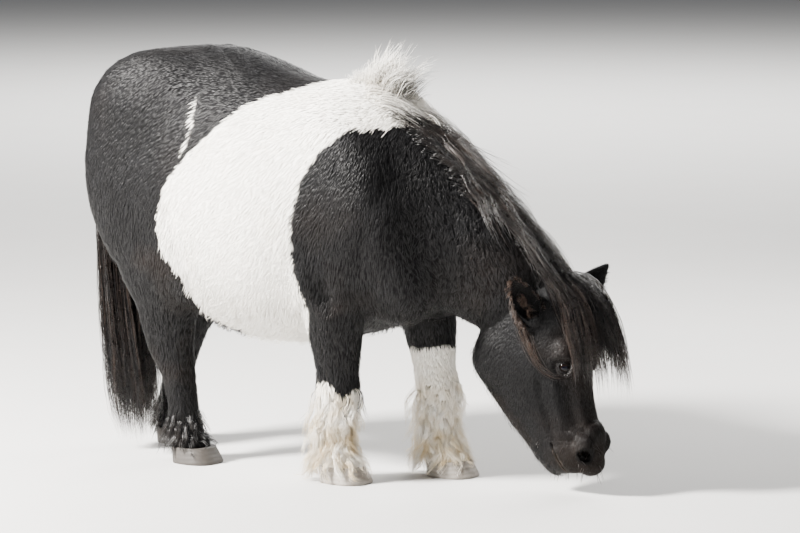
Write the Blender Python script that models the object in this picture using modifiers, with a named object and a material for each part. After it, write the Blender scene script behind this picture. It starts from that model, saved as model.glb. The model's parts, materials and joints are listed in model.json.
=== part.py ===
"""A grazing Shetland pony, life size, as a still museum model.

Units are metres and +Z is up. The pony faces +X, its left side is +Y, and it stands on the plane Z = 0.
The flesh is built whole, from lofted sections and muscle masses, and then parted with thin cuts.
"""

import math
import random

import bmesh
import bpy
from mathutils import Matrix, Vector
from mathutils.bvhtree import BVHTree
from mathutils.kdtree import KDTree

# Driving dimensions
GAP = 0.0003  # left between pieces that meet
TOO_CLOSE = 0.000004  # points and edges nearer than this are moved apart
NEIGHBOUR_REACH = 0.004  # points nearer than this to another piece are not thinned
COARSE_VOXEL, COARSE_ROUNDS = 0.011, 70  # grid that fuses the trunk's masses, and rounds of smoothing
FINE_VOXEL, FINE_ROUNDS = 0.0065, 6  # the same for the whole animal
FLESH_TRIANGLES = 4700  # the whole skin, before it is parted
HEAD_SPARE, SPARE_FACTOR = 0.9, 0.03  # how freely the head is thinned, and how far that counts
GOLDEN_TURN = 0.381966  # of a full turn, from one lock to the next round a tail or leg
LOCK_SEED = 7
# The most triangles that each head of hair has before it is joined with the flesh
MANE_TRIANGLES, FORELOCK_TRIANGLES, TAIL_TRIANGLES = 2300, 1150, 2000
FORE_FEATHER_TRIANGLES, HIND_FEATHER_TRIANGLES = 600, 250
# The feather of a leg: how many locks, their length, and how high they start
FORE_FEATHER, HIND_FEATHER = (13, 0.085, 0.205), (5, 0.055, 0.110)
FEATHER_SINK = 0.012  # how deep its locks are rooted
EYE = (0.734, 0.053, 0.309)  # the middle of the left eye, its Y from the middle of the head
EYE_RADIUS = 0.019
LID_THICKNESS = 0.0042
HOOF_HEIGHT = 0.040
FLOOR_CLEAR = 0.008  # the lowest that any hair hangs
FORE_STRIDE, FORE_REACH = 0.165, 0.90  # the left foreleg stands forward, swung from this height
HIND_STRIDE, HIND_REACH = -0.220, 0.66  # and the left hind leg stands back
KNEE_CUT, HOCK_CUT = 0.235, 0.262  # heights that part the lower legs
WITHERS_CUT = ((0.210, 0.970), (0.370, 0.420))  # side-view points of the plane that parts the neck
POLL_CUT = ((0.665, 0.530), (0.470, 0.330))  # and the head
LEG_ROOM = 0.033  # how far outside a leg its parting cut runs

# A section is (top x, top z, low x, low z, half width, distance to the left), from the side view's outline.
TRUNK = [
    (-0.605, 0.860, -0.590, 0.690, 0.090, 0.000),
    (-0.520, 0.990, -0.500, 0.520, 0.190, 0.000),
    (-0.400, 1.042, -0.380, 0.405, 0.238, 0.000),
    (-0.250, 1.053, -0.240, 0.345, 0.262, 0.000),
    (-0.100, 1.021, -0.100, 0.318, 0.280, 0.000),
    (0.040, 0.973, 0.020, 0.318, 0.275, 0.000),
    (0.160, 0.980, 0.120, 0.338, 0.245, 0.000),
    (0.270, 0.960, 0.240, 0.362, 0.205, 0.000),
    (0.370, 0.880, 0.340, 0.405, 0.160, 0.000),
    (0.430, 0.760, 0.410, 0.500, 0.090, 0.000),
]
NECK = [
    (0.120, 0.945, 0.280, 0.480, 0.145, 0.000),
    (0.300, 0.925, 0.350, 0.440, 0.150, 0.005),
    (0.425, 0.845, 0.390, 0.428, 0.138, 0.020),
    (0.530, 0.735, 0.425, 0.405, 0.120, 0.040),
    (0.630, 0.620, 0.462, 0.378, 0.106, 0.065),
    (0.695, 0.530, 0.520, 0.350, 0.092, 0.085),
]
HEAD = [
    (0.665, 0.525, 0.510, 0.440, 0.060, 0.090),
    (0.722, 0.495, 0.468, 0.375, 0.082, 0.090),
    (0.755, 0.430, 0.455, 0.300, 0.095, 0.090),
    (0.766, 0.360, 0.485, 0.250, 0.096, 0.090),
    (0.766, 0.290, 0.525, 0.200, 0.082, 0.090),
    (0.772, 0.230, 0.562, 0.155, 0.067, 0.090),
    (0.788, 0.170, 0.602, 0.115, 0.061, 0.090),
    (0.806, 0.120, 0.633, 0.080, 0.060, 0.090),
    (0.806, 0.083, 0.666, 0.055, 0.050, 0.090),
    (0.782, 0.055, 0.700, 0.045, 0.032, 0.090),
]
CREST = [
    (0.215, 0.000, 0.975),
    (0.300, 0.005, 0.925),
    (0.425, 0.020, 0.845),
    (0.530, 0.040, 0.735),
    (0.630, 0.065, 0.620),
    (0.690, 0.084, 0.545),
]
TAIL_PATH = [
    (-0.560, 0.000, 0.840),
    (-0.600, 0.000, 0.800),
    (-0.606, -0.003, 0.700),
    (-0.590, -0.008, 0.560),
    (-0.566, -0.015, 0.400),
    (-0.538, -0.026, 0.200),
    (-0.520, -0.030, 0.060),
    (-0.516, -0.032, 0.014),
]
# A leg's section is (front x, back x, z, half width, distance outward), from the side view.
FORELEG = [
    (0.285, 0.080, 0.560, 0.070, 0.150),
    (0.272, 0.080, 0.480, 0.074, 0.140),
    (0.258, 0.096, 0.400, 0.067, 0.128),
    (0.244, 0.112, 0.330, 0.058, 0.118),
    (0.234, 0.121, 0.265, 0.050, 0.112),
    (0.236, 0.118, 0.215, 0.052, 0.110),
    (0.218, 0.128, 0.165, 0.044, 0.110),
    (0.214, 0.130, 0.120, 0.041, 0.110),
    (0.224, 0.118, 0.076, 0.047, 0.110),
    (0.232, 0.132, 0.050, 0.046, 0.110),
    (0.246, 0.124, 0.030, 0.050, 0.110),
]
HINDLEG = [
    (-0.150, -0.500, 0.660, 0.080, 0.150),
    (-0.165, -0.490, 0.560, 0.085, 0.150),
    (-0.205, -0.470, 0.460, 0.074, 0.135),
    (-0.257, -0.432, 0.380, 0.058, 0.120),
    (-0.274, -0.418, 0.310, 0.050, 0.112),
    (-0.277, -0.402, 0.270, 0.048, 0.110),
    (-0.274, -0.365, 0.215, 0.044, 0.108),
    (-0.268, -0.348, 0.150, 0.040, 0.106),
    (-0.258, -0.345, 0.085, 0.046, 0.104),
    (-0.240, -0.335, 0.055, 0.046, 0.104),
    (-0.220, -0.338, 0.030, 0.051, 0.104),
]


def clear_scene():
    for obj in list(bpy.data.objects):
        bpy.data.objects.remove(obj)


def between(a, b, c, d, t):
    """Catmull-Rom value between b and c."""
    return 0.5 * (2 * b + (c - a) * t + (2 * a - 5 * b + 4 * c - d) * t * t + (3 * b - a - 3 * c + d) * t**3)


def smooth_rows(rows, steps):
    """The rows with steps - 1 more between each two, on one smooth curve."""
    found = []
    for i in range(len(rows) - 1):
        around = [rows[max(0, min(len(rows) - 1, i + k))] for k in (-1, 0, 1, 2)]
        for step in range(steps):
            found.append(tuple(between(*values, step / steps) for values in zip(*around)))
    return found + [tuple(rows[-1])]


def tube(rings):
    """A closed bmesh through rings of points, alike in number. Its triangles lie alike in every tube."""
    made = bmesh.new()
    loops = [[made.verts.new(point) for point in ring] for ring in rings]
    for a, b in zip(loops, loops[1:]):
        for i in range(len(a)):
            j = (i + 1) % len(a)
            made.faces.new((a[i], a[j], b[j]))
            made.faces.new((a[i], b[j], b[i]))
    made.faces.new(list(reversed(loops[0])))
    made.faces.new(loops[-1])
    bmesh.ops.recalc_face_normals(made, faces=made.faces)
    return made


def section_ring(section, sides, pear):
    """An oval through a section's two outline points. Pear widens its lower half and narrows the upper."""
    top_x, top_z, low_x, low_z, half_width, left = section
    top = Vector((top_x, left, top_z))
    low = Vector((low_x, left, low_z))
    centre, up = (top + low) / 2, (top - low) / 2
    points = []
    for i in range(sides):
        angle = math.tau * i / sides
        across = half_width * math.sin(angle) * (1 - pear * math.cos(angle))
        points.append(centre + up * math.cos(angle) + Vector((0, across, 0)))
    return points


def loft(sections, pear=0.0, sides=28, steps=4):
    return tube([section_ring(section, sides, pear) for section in smooth_rows(sections, steps)])


def leg_rows(sections, side, stride=0.0, reach=1.0):
    """A leg's sections in place. Side is 1 for left and -1 for right. The stride fades out up to reach."""
    rows = []
    for front, back, z, half_width, out in sections:
        ahead = stride * 0.5 * (1 + math.cos(math.pi * min(1, z / reach)))
        rows.append((front + ahead, z, back + ahead, z, half_width, side * out))
    return rows


def mass(centre, radii, pitch=0.0, yaw=0.0, segments=28):
    """A muscle as an ellipsoid, turned by pitch about Y, then by yaw about Z, in degrees."""
    made = bmesh.new()
    turn = Matrix.Rotation(math.radians(yaw), 4, "Z") @ Matrix.Rotation(math.radians(pitch), 4, "Y")
    place = Matrix.Translation(centre) @ turn @ Matrix.Diagonal((*radii, 1))
    levels = segments // 2 + 2
    bmesh.ops.create_uvsphere(made, u_segments=segments, v_segments=levels, radius=1, matrix=place)
    return made


def both_sides(centre, radii, pitch=0.0):
    x, y, z = centre
    return [mass((x, y, z), radii, pitch), mass((x, -y, z), radii, pitch)]


def joined(name, pieces):
    """One object from several bmeshes, which are freed."""
    whole = bmesh.new()
    for piece in pieces:
        mesh = bpy.data.meshes.new("piece")
        piece.to_mesh(mesh)
        piece.free()
        whole.from_mesh(mesh)
        bpy.data.meshes.remove(mesh)
    mesh = bpy.data.meshes.new(name)
    whole.to_mesh(mesh)
    whole.free()
    obj = bpy.data.objects.new(name, mesh)
    bpy.context.scene.collection.objects.link(obj)
    return obj


def applied(obj):
    """The object with its modifiers made part of its mesh."""
    graph = bpy.context.evaluated_depsgraph_get()
    mesh = bpy.data.meshes.new_from_object(obj.evaluated_get(graph))
    old = obj.data
    obj.modifiers.clear()
    obj.data = mesh
    bpy.data.meshes.remove(old)
    return obj


def fused(obj, voxel, rounds):
    """Overlapping closed shapes made one skin on a grid, then relaxed."""
    remesh = obj.modifiers.new("fuse", "REMESH")
    remesh.mode = "VOXEL"
    remesh.voxel_size = voxel
    relax = obj.modifiers.new("relax", "SMOOTH")
    relax.factor = 0.5
    relax.iterations = rounds
    return applied(obj)


def bmesh_of(obj):
    made = bmesh.new()
    made.from_mesh(obj.data)
    return made


def trunk_masses():
    pieces = [loft(TRUNK, pear=0.10), loft(NECK)]
    pieces += both_sides((-0.37, 0.105, 0.862), (0.225, 0.130, 0.182))  # croup
    pieces += both_sides((-0.41, 0.128, 0.700), (0.175, 0.116, 0.270), pitch=-10)  # buttock and thigh
    pieces += both_sides((-0.30, 0.150, 0.560), (0.165, 0.088, 0.170), pitch=-20)  # stifle
    pieces += both_sides((0.23, 0.130, 0.690), (0.150, 0.098, 0.230), pitch=-20)  # shoulder
    pieces += both_sides((0.16, 0.150, 0.540), (0.130, 0.076, 0.150), pitch=12)  # upper arm
    pieces += both_sides((0.35, 0.075, 0.500), (0.095, 0.090, 0.115))  # breast
    return pieces


def head_masses():
    left = HEAD[0][5]
    pieces = [loft(HEAD)]
    for side in (1, -1):
        pieces.append(mass((0.575, left + side * 0.052, 0.330), (0.100, 0.046, 0.090), pitch=-25))  # jowl
        pieces.append(mass((0.728, left + side * 0.050, 0.347), (0.034, 0.030, 0.038)))  # brow
        pieces.append(mass((0.775, left + side * 0.034, 0.118), (0.030, 0.028, 0.036)))  # nostril's wing
    pieces.append(mass((0.690, left, 0.072), (0.036, 0.036, 0.030)))  # chin and lower lip
    pieces.append(mass((0.776, left, 0.077), (0.032, 0.042, 0.034)))  # upper lip
    return pieces


def legs():
    """The placed sections of each leg, by name."""
    return {
        "foreleg_right": leg_rows(FORELEG, -1),
        "foreleg_left": leg_rows(FORELEG, 1, FORE_STRIDE, FORE_REACH),
        "hindleg_right": leg_rows(HINDLEG, -1),
        "hindleg_left": leg_rows(HINDLEG, 1, HIND_STRIDE, HIND_REACH),
    }


def flesh():
    """The whole skin as one mesh of triangles, finest on the head."""
    trunk = fused(joined("trunk", trunk_masses()), COARSE_VOXEL, COARSE_ROUNDS)
    pieces = [bmesh_of(trunk)] + head_masses()
    bpy.data.objects.remove(trunk)
    pieces += [loft(rows, sides=20) for rows in legs().values()]
    skin = fused(joined("flesh", pieces), FINE_VOXEL, FINE_ROUNDS)
    spare = skin.vertex_groups.new(name="spare")  # what may be thinned most
    for vertex in skin.data.vertices:
        on_head = vertex.co.x > POLL_CUT[1][0]
        spare.add([vertex.index], HEAD_SPARE if on_head else 1.0, "REPLACE")
    thin = skin.modifiers.new("thin", "DECIMATE")
    thin.ratio = FLESH_TRIANGLES / (2 * len(skin.data.polygons))
    thin.vertex_group = spare.name
    thin.vertex_group_factor = SPARE_FACTOR
    return applied(skin)


def cut(obj, tools, operation="DIFFERENCE", one_body=True):
    """The object cut by closed bmeshes, or joined with them. One body keeps the largest closed surface."""
    group = bpy.data.collections.new("tools")
    bpy.context.scene.collection.children.link(group)
    for tool in tools:
        piece = joined("tool", [tool])
        bpy.context.scene.collection.objects.unlink(piece)
        group.objects.link(piece)
    boolean = obj.modifiers.new("cut", "BOOLEAN")
    boolean.operand_type = "COLLECTION"
    boolean.collection = group
    boolean.operation = operation
    boolean.solver = "MANIFOLD"  # the exact solver drops some of these dense skins
    applied(obj)
    for piece in list(group.objects):
        bpy.data.objects.remove(piece)
    bpy.data.collections.remove(group)
    mesh = bmesh_of(obj)
    split_faces(mesh)
    keep_surfaces(mesh, one_body)
    mesh.to_mesh(obj.data)
    mesh.free()
    return obj


def split_faces(mesh):
    """Triangles for every face, and no edge that two pairs of them share."""
    along_edges = [vertex for vertex in mesh.verts if len(vertex.link_edges) == 2]
    bmesh.ops.dissolve_verts(mesh, verts=along_edges)
    origin = mesh.faces.layers.int.new("origin")
    for i, face in enumerate(mesh.faces):
        face[origin] = i
    bmesh.ops.triangulate(mesh, faces=mesh.faces[:])
    for edge in [edge for edge in mesh.edges if len(edge.link_faces) > 2]:
        for face in list(edge.link_faces):
            pair = [other for other in edge.link_faces if other[origin] == face[origin]]
            if len(pair) == 2 and turned(mesh, edge, pair):
                break
    mesh.faces.layers.int.remove(origin)


def turned(mesh, edge, pair):
    """Gives two triangles of one flat face their other diagonal, where they make a convex shape."""
    a, b = edge.verts
    first, second = pair
    order = list(first.verts)
    if order[(order.index(a) + 1) % 3] is not b:
        a, b = b, a
    c = next(vertex for vertex in first.verts if vertex not in (a, b))
    d = next(vertex for vertex in second.verts if vertex not in (a, b))
    out = first.normal
    corners = [b, c, a, d]
    for i, corner in enumerate(corners):
        before, after = corners[i - 1], corners[(i + 1) % 4]
        if (corner.co - before.co).cross(after.co - corner.co).dot(out) < 1e-12:
            return False
    if mesh.edges.get((c, d)):
        return False
    mesh.faces.new((c, a, d))
    mesh.faces.new((d, b, c))
    mesh.faces.remove(first)
    mesh.faces.remove(second)
    return True


def keep_surfaces(mesh, one_body):
    """Deletes all but the largest closed surface, or only the smallest scraps where several may stay."""
    unseen = set(mesh.verts)
    surfaces = []
    while unseen:
        found, edge = set(), [unseen.pop()]
        while edge:
            vertex = edge.pop()
            found.add(vertex)
            for other in (link.other_vert(vertex) for link in vertex.link_edges):
                if other in unseen:
                    unseen.discard(other)
                    edge.append(other)
        surfaces.append(found)
    largest = max(surfaces, key=len, default=None)
    for surface in surfaces:
        if surface is not largest and (one_body or len(surface) < 12):
            bmesh.ops.delete(mesh, geom=list(surface), context="VERTS")


def copy_of(obj, name):
    twin = obj.copy()
    twin.data = obj.data.copy()
    twin.name = name
    bpy.context.scene.collection.objects.link(twin)
    return twin


def swell(mesh, by=GAP):
    """Moves a closed bmesh's skin outward, to cut a neighbour clear of it."""
    mesh.normal_update()
    moves = [vertex.normal * by * min(1.6, vertex.calc_shell_factor()) for vertex in mesh.verts]
    for vertex, move in zip(mesh.verts, moves):
        vertex.co += move
    return mesh


def swollen(obj):
    return swell(bmesh_of(obj))


def block(matrix):
    made = bmesh.new()
    bmesh.ops.create_cube(made, size=1, matrix=matrix)
    return made


def ahead_of(plane, by=0.0):
    """A big block in front of the upright plane through two side-view points, moved on by an amount."""
    (high_x, high_z), (low_x, low_z) = plane
    high, low = Vector((high_x, 0, high_z)), Vector((low_x, 0, low_z))
    up = (high - low).normalized()
    front = Vector((0, 1, 0)).cross(up)
    turn = Matrix((front, (0, 1, 0), up)).transposed().to_4x4()
    return block(Matrix.Translation((high + low) / 2 + front * (by + 1.5)) @ turn @ Matrix.Scale(3, 4))


def level_block(low, high):
    place = Matrix.Translation((0, 0, (low + high) / 2))
    return block(place @ Matrix.Diagonal((3, 3, high - low, 1)))


def leg_sleeve(rows):
    """A tube round the lower part of a leg. Its top rises outward, along the fold between leg and trunk."""
    top, fold_low, slope, middle = 0.40, 0.28, 0.54, 0.13
    kept = [row for row in smooth_rows(rows, 2) if row[1] < top]
    front, _, back, _, half_width, left = rows[-1]
    kept.append((front, -0.05, back, -0.05, half_width, left))
    rings = []
    for front, z, back, _, half_width, left in kept:
        ring = section_ring((front + LEG_ROOM, z, back - LEG_ROOM, z, half_width + LEG_ROOM, left), 16, 0)
        lift = max(0, (z - fold_low) / (top - fold_low))
        for point in ring:
            point.z += lift * slope * (abs(point.y) - middle)
        rings.append(ring)
    return tube(rings)


def hoof(name, rows):
    """A hoof under a leg's placed sections, with a flat sole on the floor."""
    front, _, back, _, half_width, left = rows[-1]
    middle = (front + back) / 2
    sides, squareness = 20, 2.6
    levels = ((0, 1.09, 0.012), (0.005, 1.10, 0.012), (0.022, 1.04, 0.006), (HOOF_HEIGHT, 0.96, 0))
    rings = []
    for z, spread, forward in levels:
        ring = []
        for i in range(sides):
            angle = math.tau * i / sides
            x, y = math.cos(angle), math.sin(angle)
            heel = 0.86 if x < 0 else 1.0
            reach = (abs(x) ** squareness + abs(y) ** squareness) ** (-1 / squareness)
            ring.append(Vector((
                middle + forward + (front - middle) * spread * reach * x * heel,
                left + half_width * spread * reach * y,
                z,
            )))
        rings.append(ring)
    return joined(name, [tube(rings)])


def eye_place(side):
    return Vector((EYE[0], HEAD[0][5] + side * EYE[1], EYE[2]))


def eye_look(side):
    """The way that an eye faces: outward and a little forward."""
    return Vector((0.50, side * 0.86, 0.05)).normalized()


def ball(centre, radius, segments=14):
    return mass(centre, (radius, radius, radius), segments=segments)


def facing(direction, up):
    """A turn whose X axis is along the direction and whose Z axis is near up."""
    side = up.cross(direction).normalized()
    return Matrix((direction, side, direction.cross(side))).transposed().to_4x4()


def lid_opening(side):
    """The almond between the lids, its long axis down and forward to the inner corner."""
    centre = eye_place(side) + eye_look(side) * (EYE_RADIUS + 0.004)
    turn = facing(eye_look(side), Vector((0.50, 0, 1)))
    made = bmesh.new()
    place = Matrix.Translation(centre) @ turn @ Matrix.Diagonal((0.016, 0.0160, 0.0120, 1))
    bmesh.ops.create_uvsphere(made, u_segments=12, v_segments=8, radius=1, matrix=place)
    return made


def nostril(side):
    """The hollow of a nostril, a slanted comma that runs in and up."""
    place = (0.789, HEAD[0][5] + side * 0.046, 0.101)
    return mass(place, (0.014, 0.018, 0.021), pitch=24, yaw=side * 40, segments=12)


def mouth_slit():
    """A thin plate along the line of the mouth, from the lips to its corners."""
    low, corner = Vector((0.744, 0, 0.028)), Vector((0.690, 0, 0.142))
    along = corner - low
    front = Vector((0, 1, 0)).cross(along.normalized())
    turn = Matrix((front, (0, 1, 0), along.normalized())).transposed().to_4x4()
    centre = (low + corner) / 2 + Vector((0, HEAD[0][5], 0))
    return block(Matrix.Translation(centre) @ turn @ Matrix.Diagonal((0.0028, 0.2, along.length, 1)))


# An ear's share of its half width and half depth, from its base to its tip
EAR_PROFILE = [
    (0.0, 0.60, 0.80), (0.15, 0.84, 1.0), (0.35, 1.0, 0.95),
    (0.6, 0.84, 0.70), (0.82, 0.46, 0.45), (1.0, 0.07, 0.12),
]
EAR_OUTSIDE = (0.036, 0.024)  # half width and half depth
EAR_HOLLOW = (0.0310, 0.0215, 0.16, 0.955, 0.0090)  # the same, its start and end along the ear, and its push


def ear_shape(base, tip, opening, half_width, half_depth, start=0.0, end=1.0, push=0.0):
    """A leaf-shaped tube from the base of an ear to its tip. Push moves it toward the open side."""
    axis = tip - base
    across = axis.cross(opening).normalized()
    out = across.cross(axis).normalized()
    if out.dot(opening) < 0:
        out = -out
    rings = []
    for t, width, depth in smooth_rows(EAR_PROFILE, 2):
        t = start + (end - start) * t
        centre = base + axis * t + out * (push - 0.010 * math.sin(math.pi * t))
        ring = []
        for i in range(10):
            angle = math.tau * i / 10
            sideways = across * half_width * width * math.cos(angle)
            ring.append(centre + sideways + out * half_depth * depth * math.sin(angle))
        rings.append(ring)
    return tube(rings)


def ear(name, base, tip, opening, around):
    """A cupped ear with a stub at its base, cut clear of what is around it."""
    shell = joined(name, [ear_shape(base, tip, opening, *EAR_OUTSIDE)])
    cut(shell, [ear_shape(base, tip, opening, *EAR_HOLLOW)])
    axis = (tip - base).normalized()
    cut(shell, [ball(base - axis * 0.006, 0.024, 12)], "UNION")
    return cut(shell, [swollen(piece) for piece in around])


def round_form(path, radii, sides, steps):
    """A smooth closed form along a path, with a radius at each of its points."""
    across = Vector((0, 1, 0))
    rows = smooth_rows([(*point, radius) for point, radius in zip(path, radii)], steps)
    rings = []
    for i, row in enumerate(rows):
        before, after = Vector(rows[max(0, i - 1)][:3]), Vector(rows[min(len(rows) - 1, i + 1)][:3])
        along = (after - before).normalized()
        side = (across - along * across.dot(along)).normalized()
        thick = along.cross(side)
        ring = []
        for k in range(sides):
            angle = math.tau * k / sides
            ring.append(Vector(row[:3]) + (side * math.cos(angle) + thick * math.sin(angle)) * row[3])
        rings.append(ring)
    return tube(rings)


class Combed:
    """Hair laid over a skin: each lock keeps a clearance to it, and none goes below the floor."""

    def __init__(self, skin, seed):
        mesh = bmesh_of(skin)
        self.tree = BVHTree.FromBMesh(mesh)
        mesh.free()
        self.draw = random.Random(seed)

    def vary(self, amount):
        return 1 + amount * self.draw.uniform(-1, 1)

    def path(self, root, aim, length, steps, clear, fall, sink=0.014):
        """Points from under the skin at the root along the aim. Fall is how fast it turns downward."""
        on_skin, outward, _, _ = self.tree.find_nearest(root)
        points = [on_skin - outward * sink]
        place, way = on_skin + outward * clear * 0.6, aim.normalized()
        points.append(place)
        for _ in range(steps):
            way = (way + Vector((0, 0, -fall / steps))).normalized()
            place = place + way * length / steps
            near, outward, _, _ = self.tree.find_nearest(place)
            height = (place - near).dot(outward)
            if height < clear and (place - near).length < 0.12:
                place = near + outward * clear
            place.z = max(place.z, FLOOR_CLEAR)
            way = (place - points[-1]).normalized()
            points.append(place)
        return points

    def lock(self, points, width, thickness, flat=None):
        """A flat, tapered closed ribbon along the points, facing away from the skin or a given way."""
        rings = []
        last = len(points) - 1
        for i, point in enumerate(points):
            along = (points[min(last, i + 1)] - points[max(0, i - 1)]).normalized()
            if flat:
                outward = flat
            else:
                _, outward, _, _ = self.tree.find_nearest(point)
            side = along.cross(outward).normalized()
            out = side.cross(along).normalized()
            t = i / last
            swell_here = 0.62 + 0.38 * math.sin(math.pi * min(1, t * 1.6)) if t < 0.625 else 1.0
            taper = 1 - max(0, (t - 0.45) / 0.55) ** 1.4 * 0.80
            half_width = width / 2 * swell_here * taper
            half_thick = thickness / 2 * (1 - 0.62 * t)
            side, out = side * half_width, out * half_thick
            ring = [point + side, point + out, point - side, point - out]
            for corner in ring:
                corner.z = max(corner.z, FLOOR_CLEAR / 2)
            rings.append(ring)
        return tube(rings)


def crest(share):
    """The point at a share of the way along the crest, from the withers to the poll."""
    rows = [Vector(row) for row in smooth_rows(CREST, 4)]
    place = share * (len(rows) - 1)
    i = min(len(rows) - 2, int(place))
    return rows[i].lerp(rows[i + 1], place - i), (rows[i + 1] - rows[i]).normalized()


def mane_locks(combed):
    """A tuft that stands at the withers, long locks down the left side, and shorter ones along the right."""
    locks = []
    for i in range(8):  # tuft
        point, _ = crest(0.01 + 0.024 * i)
        aim = Vector((0.22 + 0.10 * i, 0.30 * combed.draw.uniform(-1, 1), 1.0))
        points = combed.path(point, aim, 0.100 * combed.vary(0.12), 3, 0.010, 0.75)
        width = 0.050 * combed.vary(0.15)
        flat = Vector((0.3 * combed.draw.uniform(-1, 1), 1, 0))
        locks.append(combed.lock(points, width, 0.013, flat))
    for i in range(18):  # left side
        point, along = crest(0.06 + 0.91 * i / 17)
        aim = along * (0.55 + 0.25 * combed.draw.uniform(-1, 1)) + Vector((0, 0.80, 0.22))
        clear = 0.011 + 0.007 * (i % 2)
        points = combed.path(point + Vector((0, 0.012, 0)), aim, 0.225 * combed.vary(0.22), 5, clear, 1.8)
        locks.append(combed.lock(points, 0.052 * combed.vary(0.2), 0.011))
    for i in range(10):  # right side
        point, along = crest(0.14 + 0.80 * i / 9)
        aim = along * (0.90 + 0.25 * combed.draw.uniform(-1, 1)) + Vector((0, -0.50, 0.10))
        clear = 0.009 + 0.006 * (i % 2)
        points = combed.path(point + Vector((0, -0.014, 0)), aim, 0.180 * combed.vary(0.22), 4, clear, 0.8)
        locks.append(combed.lock(points, 0.052 * combed.vary(0.2), 0.010))
    return locks


def forelock_locks(combed):
    """Hair from between the ears that hangs before the forehead and to both sides of the face."""
    locks = []
    middle = HEAD[0][5]
    for i in range(12):
        spread = (i - 5.5) / 5.5
        root = Vector((0.706 + 0.010 * (i % 3), middle + 0.036 * spread, 0.500 - 0.004 * (i % 2)))
        aim = Vector((0.25 + 0.20 * (i % 3), 0.42 * spread, 0.06 - 0.30 * abs(spread)))
        length = (0.235 - 0.020 * abs(spread)) * combed.vary(0.14)
        clear = 0.011 + 0.014 * (1 - abs(spread)) * ((i % 3) / 2)
        points = combed.path(root, aim, length, 5, clear, 4.2)
        locks.append(combed.lock(points, 0.046 * combed.vary(0.15), 0.010))
    return locks


def tail_locks(combed):
    """The dock with a core to half the tail's length, and long locks from it almost to the floor."""
    core_path = TAIL_PATH[:4] + [(-0.594, -0.010, 0.450)]
    locks = [round_form(core_path, (0.026, 0.031, 0.033, 0.030, 0.012), sides=10, steps=2)]
    curve = [Vector(row) for row in smooth_rows(TAIL_PATH, 4)]
    for i in range(26):
        start = 3 + (i * 7) % 8
        angle = math.tau * (i * GOLDEN_TURN)
        radius = 0.022
        stop = len(curve) - 1 - combed.draw.choice((0, 0, 1, 2, 4))
        points = []
        for k in range(6):
            place = start + (stop - start) * k / 5
            j = min(len(curve) - 2, int(place))
            point = curve[j].lerp(curve[j + 1], place - j)
            share = k / 5
            spread = radius + 0.046 * math.sin(math.pi * min(1, share * 0.9)) * (0.45 + 0.55 * (i % 4) / 3)
            if k == 0:
                spread = 0.008
            turn = angle + 0.5 * share * combed.draw.uniform(-1, 1)
            point = point + Vector((math.cos(turn) * spread * 0.9, math.sin(turn) * spread * 1.15, 0))
            point.z = max(point.z, FLOOR_CLEAR)
            if 0 < k:
                near, outward, _, _ = combed.tree.find_nearest(point)
                clear = 0.010
                if (point - near).dot(outward) < clear and (point - near).length < 0.1:
                    point = near + outward * clear
            points.append(point)
        flat = Vector((math.cos(angle), math.sin(angle), 0))
        locks.append(combed.lock(points, 0.048 * combed.vary(0.2), 0.013, flat))
    return locks


def feather_locks(combed, rows, count, length, high):
    """Wavy hair round the lower leg, longest behind the fetlock, hanging over the hoof."""
    locks = []
    fine = smooth_rows(rows, 8)
    for i in range(count):
        angle = math.tau * (i * GOLDEN_TURN)
        z = high - (high - 0.062) * ((i + 0.5) / count) ** 0.8
        front, _, back, _, half_width, left = min(fine, key=lambda row: abs(row[1] - z))
        behind = 0.5 - 0.5 * math.cos(angle)  # 1 at the back
        out = Vector((math.cos(angle), math.sin(angle), 0))
        middle = (front + back) / 2
        root = Vector((middle + math.cos(angle) * (front - back) / 2, left + math.sin(angle) * half_width, z))
        reach = length * (0.72 + 0.5 * behind) * combed.vary(0.2)
        aim = out * (0.12 + 0.14 * behind) + Vector((0, 0.22 * combed.draw.uniform(-1, 1), -0.95))
        points = combed.path(root, aim, reach, 3, 0.007 + 0.005 * (i % 2), 0.3, FEATHER_SINK)
        for k, point in enumerate(points[2:]):
            point += Vector((-math.sin(angle), math.cos(angle), 0)) * 0.006 * math.sin(k * 2.2 + i)
            if point.z < HOOF_HEIGHT + 0.012:  # clear of the hoof's wall
                flare = Vector((point.x - middle, point.y - left, 0))
                point += flare.normalized() * 0.006
        locks.append(combed.lock(points, 0.046 * combed.vary(0.15), 0.011, out))
    return locks


# Colours are base colour, roughness and metallic value.
FINISHES = {
    "coat_black": ((0.020, 0.017, 0.016), 0.55, 0.0),
    "coat_white": ((0.80, 0.77, 0.70), 0.75, 0.0),
    "hair_black": ((0.016, 0.013, 0.012), 0.50, 0.0),
    "hoof_horn": ((0.16, 0.13, 0.11), 0.55, 0.0),
    "eye_dark": ((0.015, 0.010, 0.008), 0.10, 0.0),
}


FINISH_OF = {
    "torso": "coat_white",
    "foreleg": "coat_white",
    "tail": "hair_black",
    "forehoof": "hoof_horn",
    "hindhoof": "hoof_horn",
    "eye": "eye_dark",
}


def finish(obj, name):
    material = bpy.data.materials.get(name)
    if not material:
        colour, roughness, metallic = FINISHES[name]
        material = bpy.data.materials.new(name)
        material.use_nodes = True
        shader = material.node_tree.nodes["Principled BSDF"]
        shader.inputs["Base Color"].default_value = (*colour, 1)
        shader.inputs["Roughness"].default_value = roughness
        shader.inputs["Metallic"].default_value = metallic
    obj.data.materials.clear()
    obj.data.materials.append(material)


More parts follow.
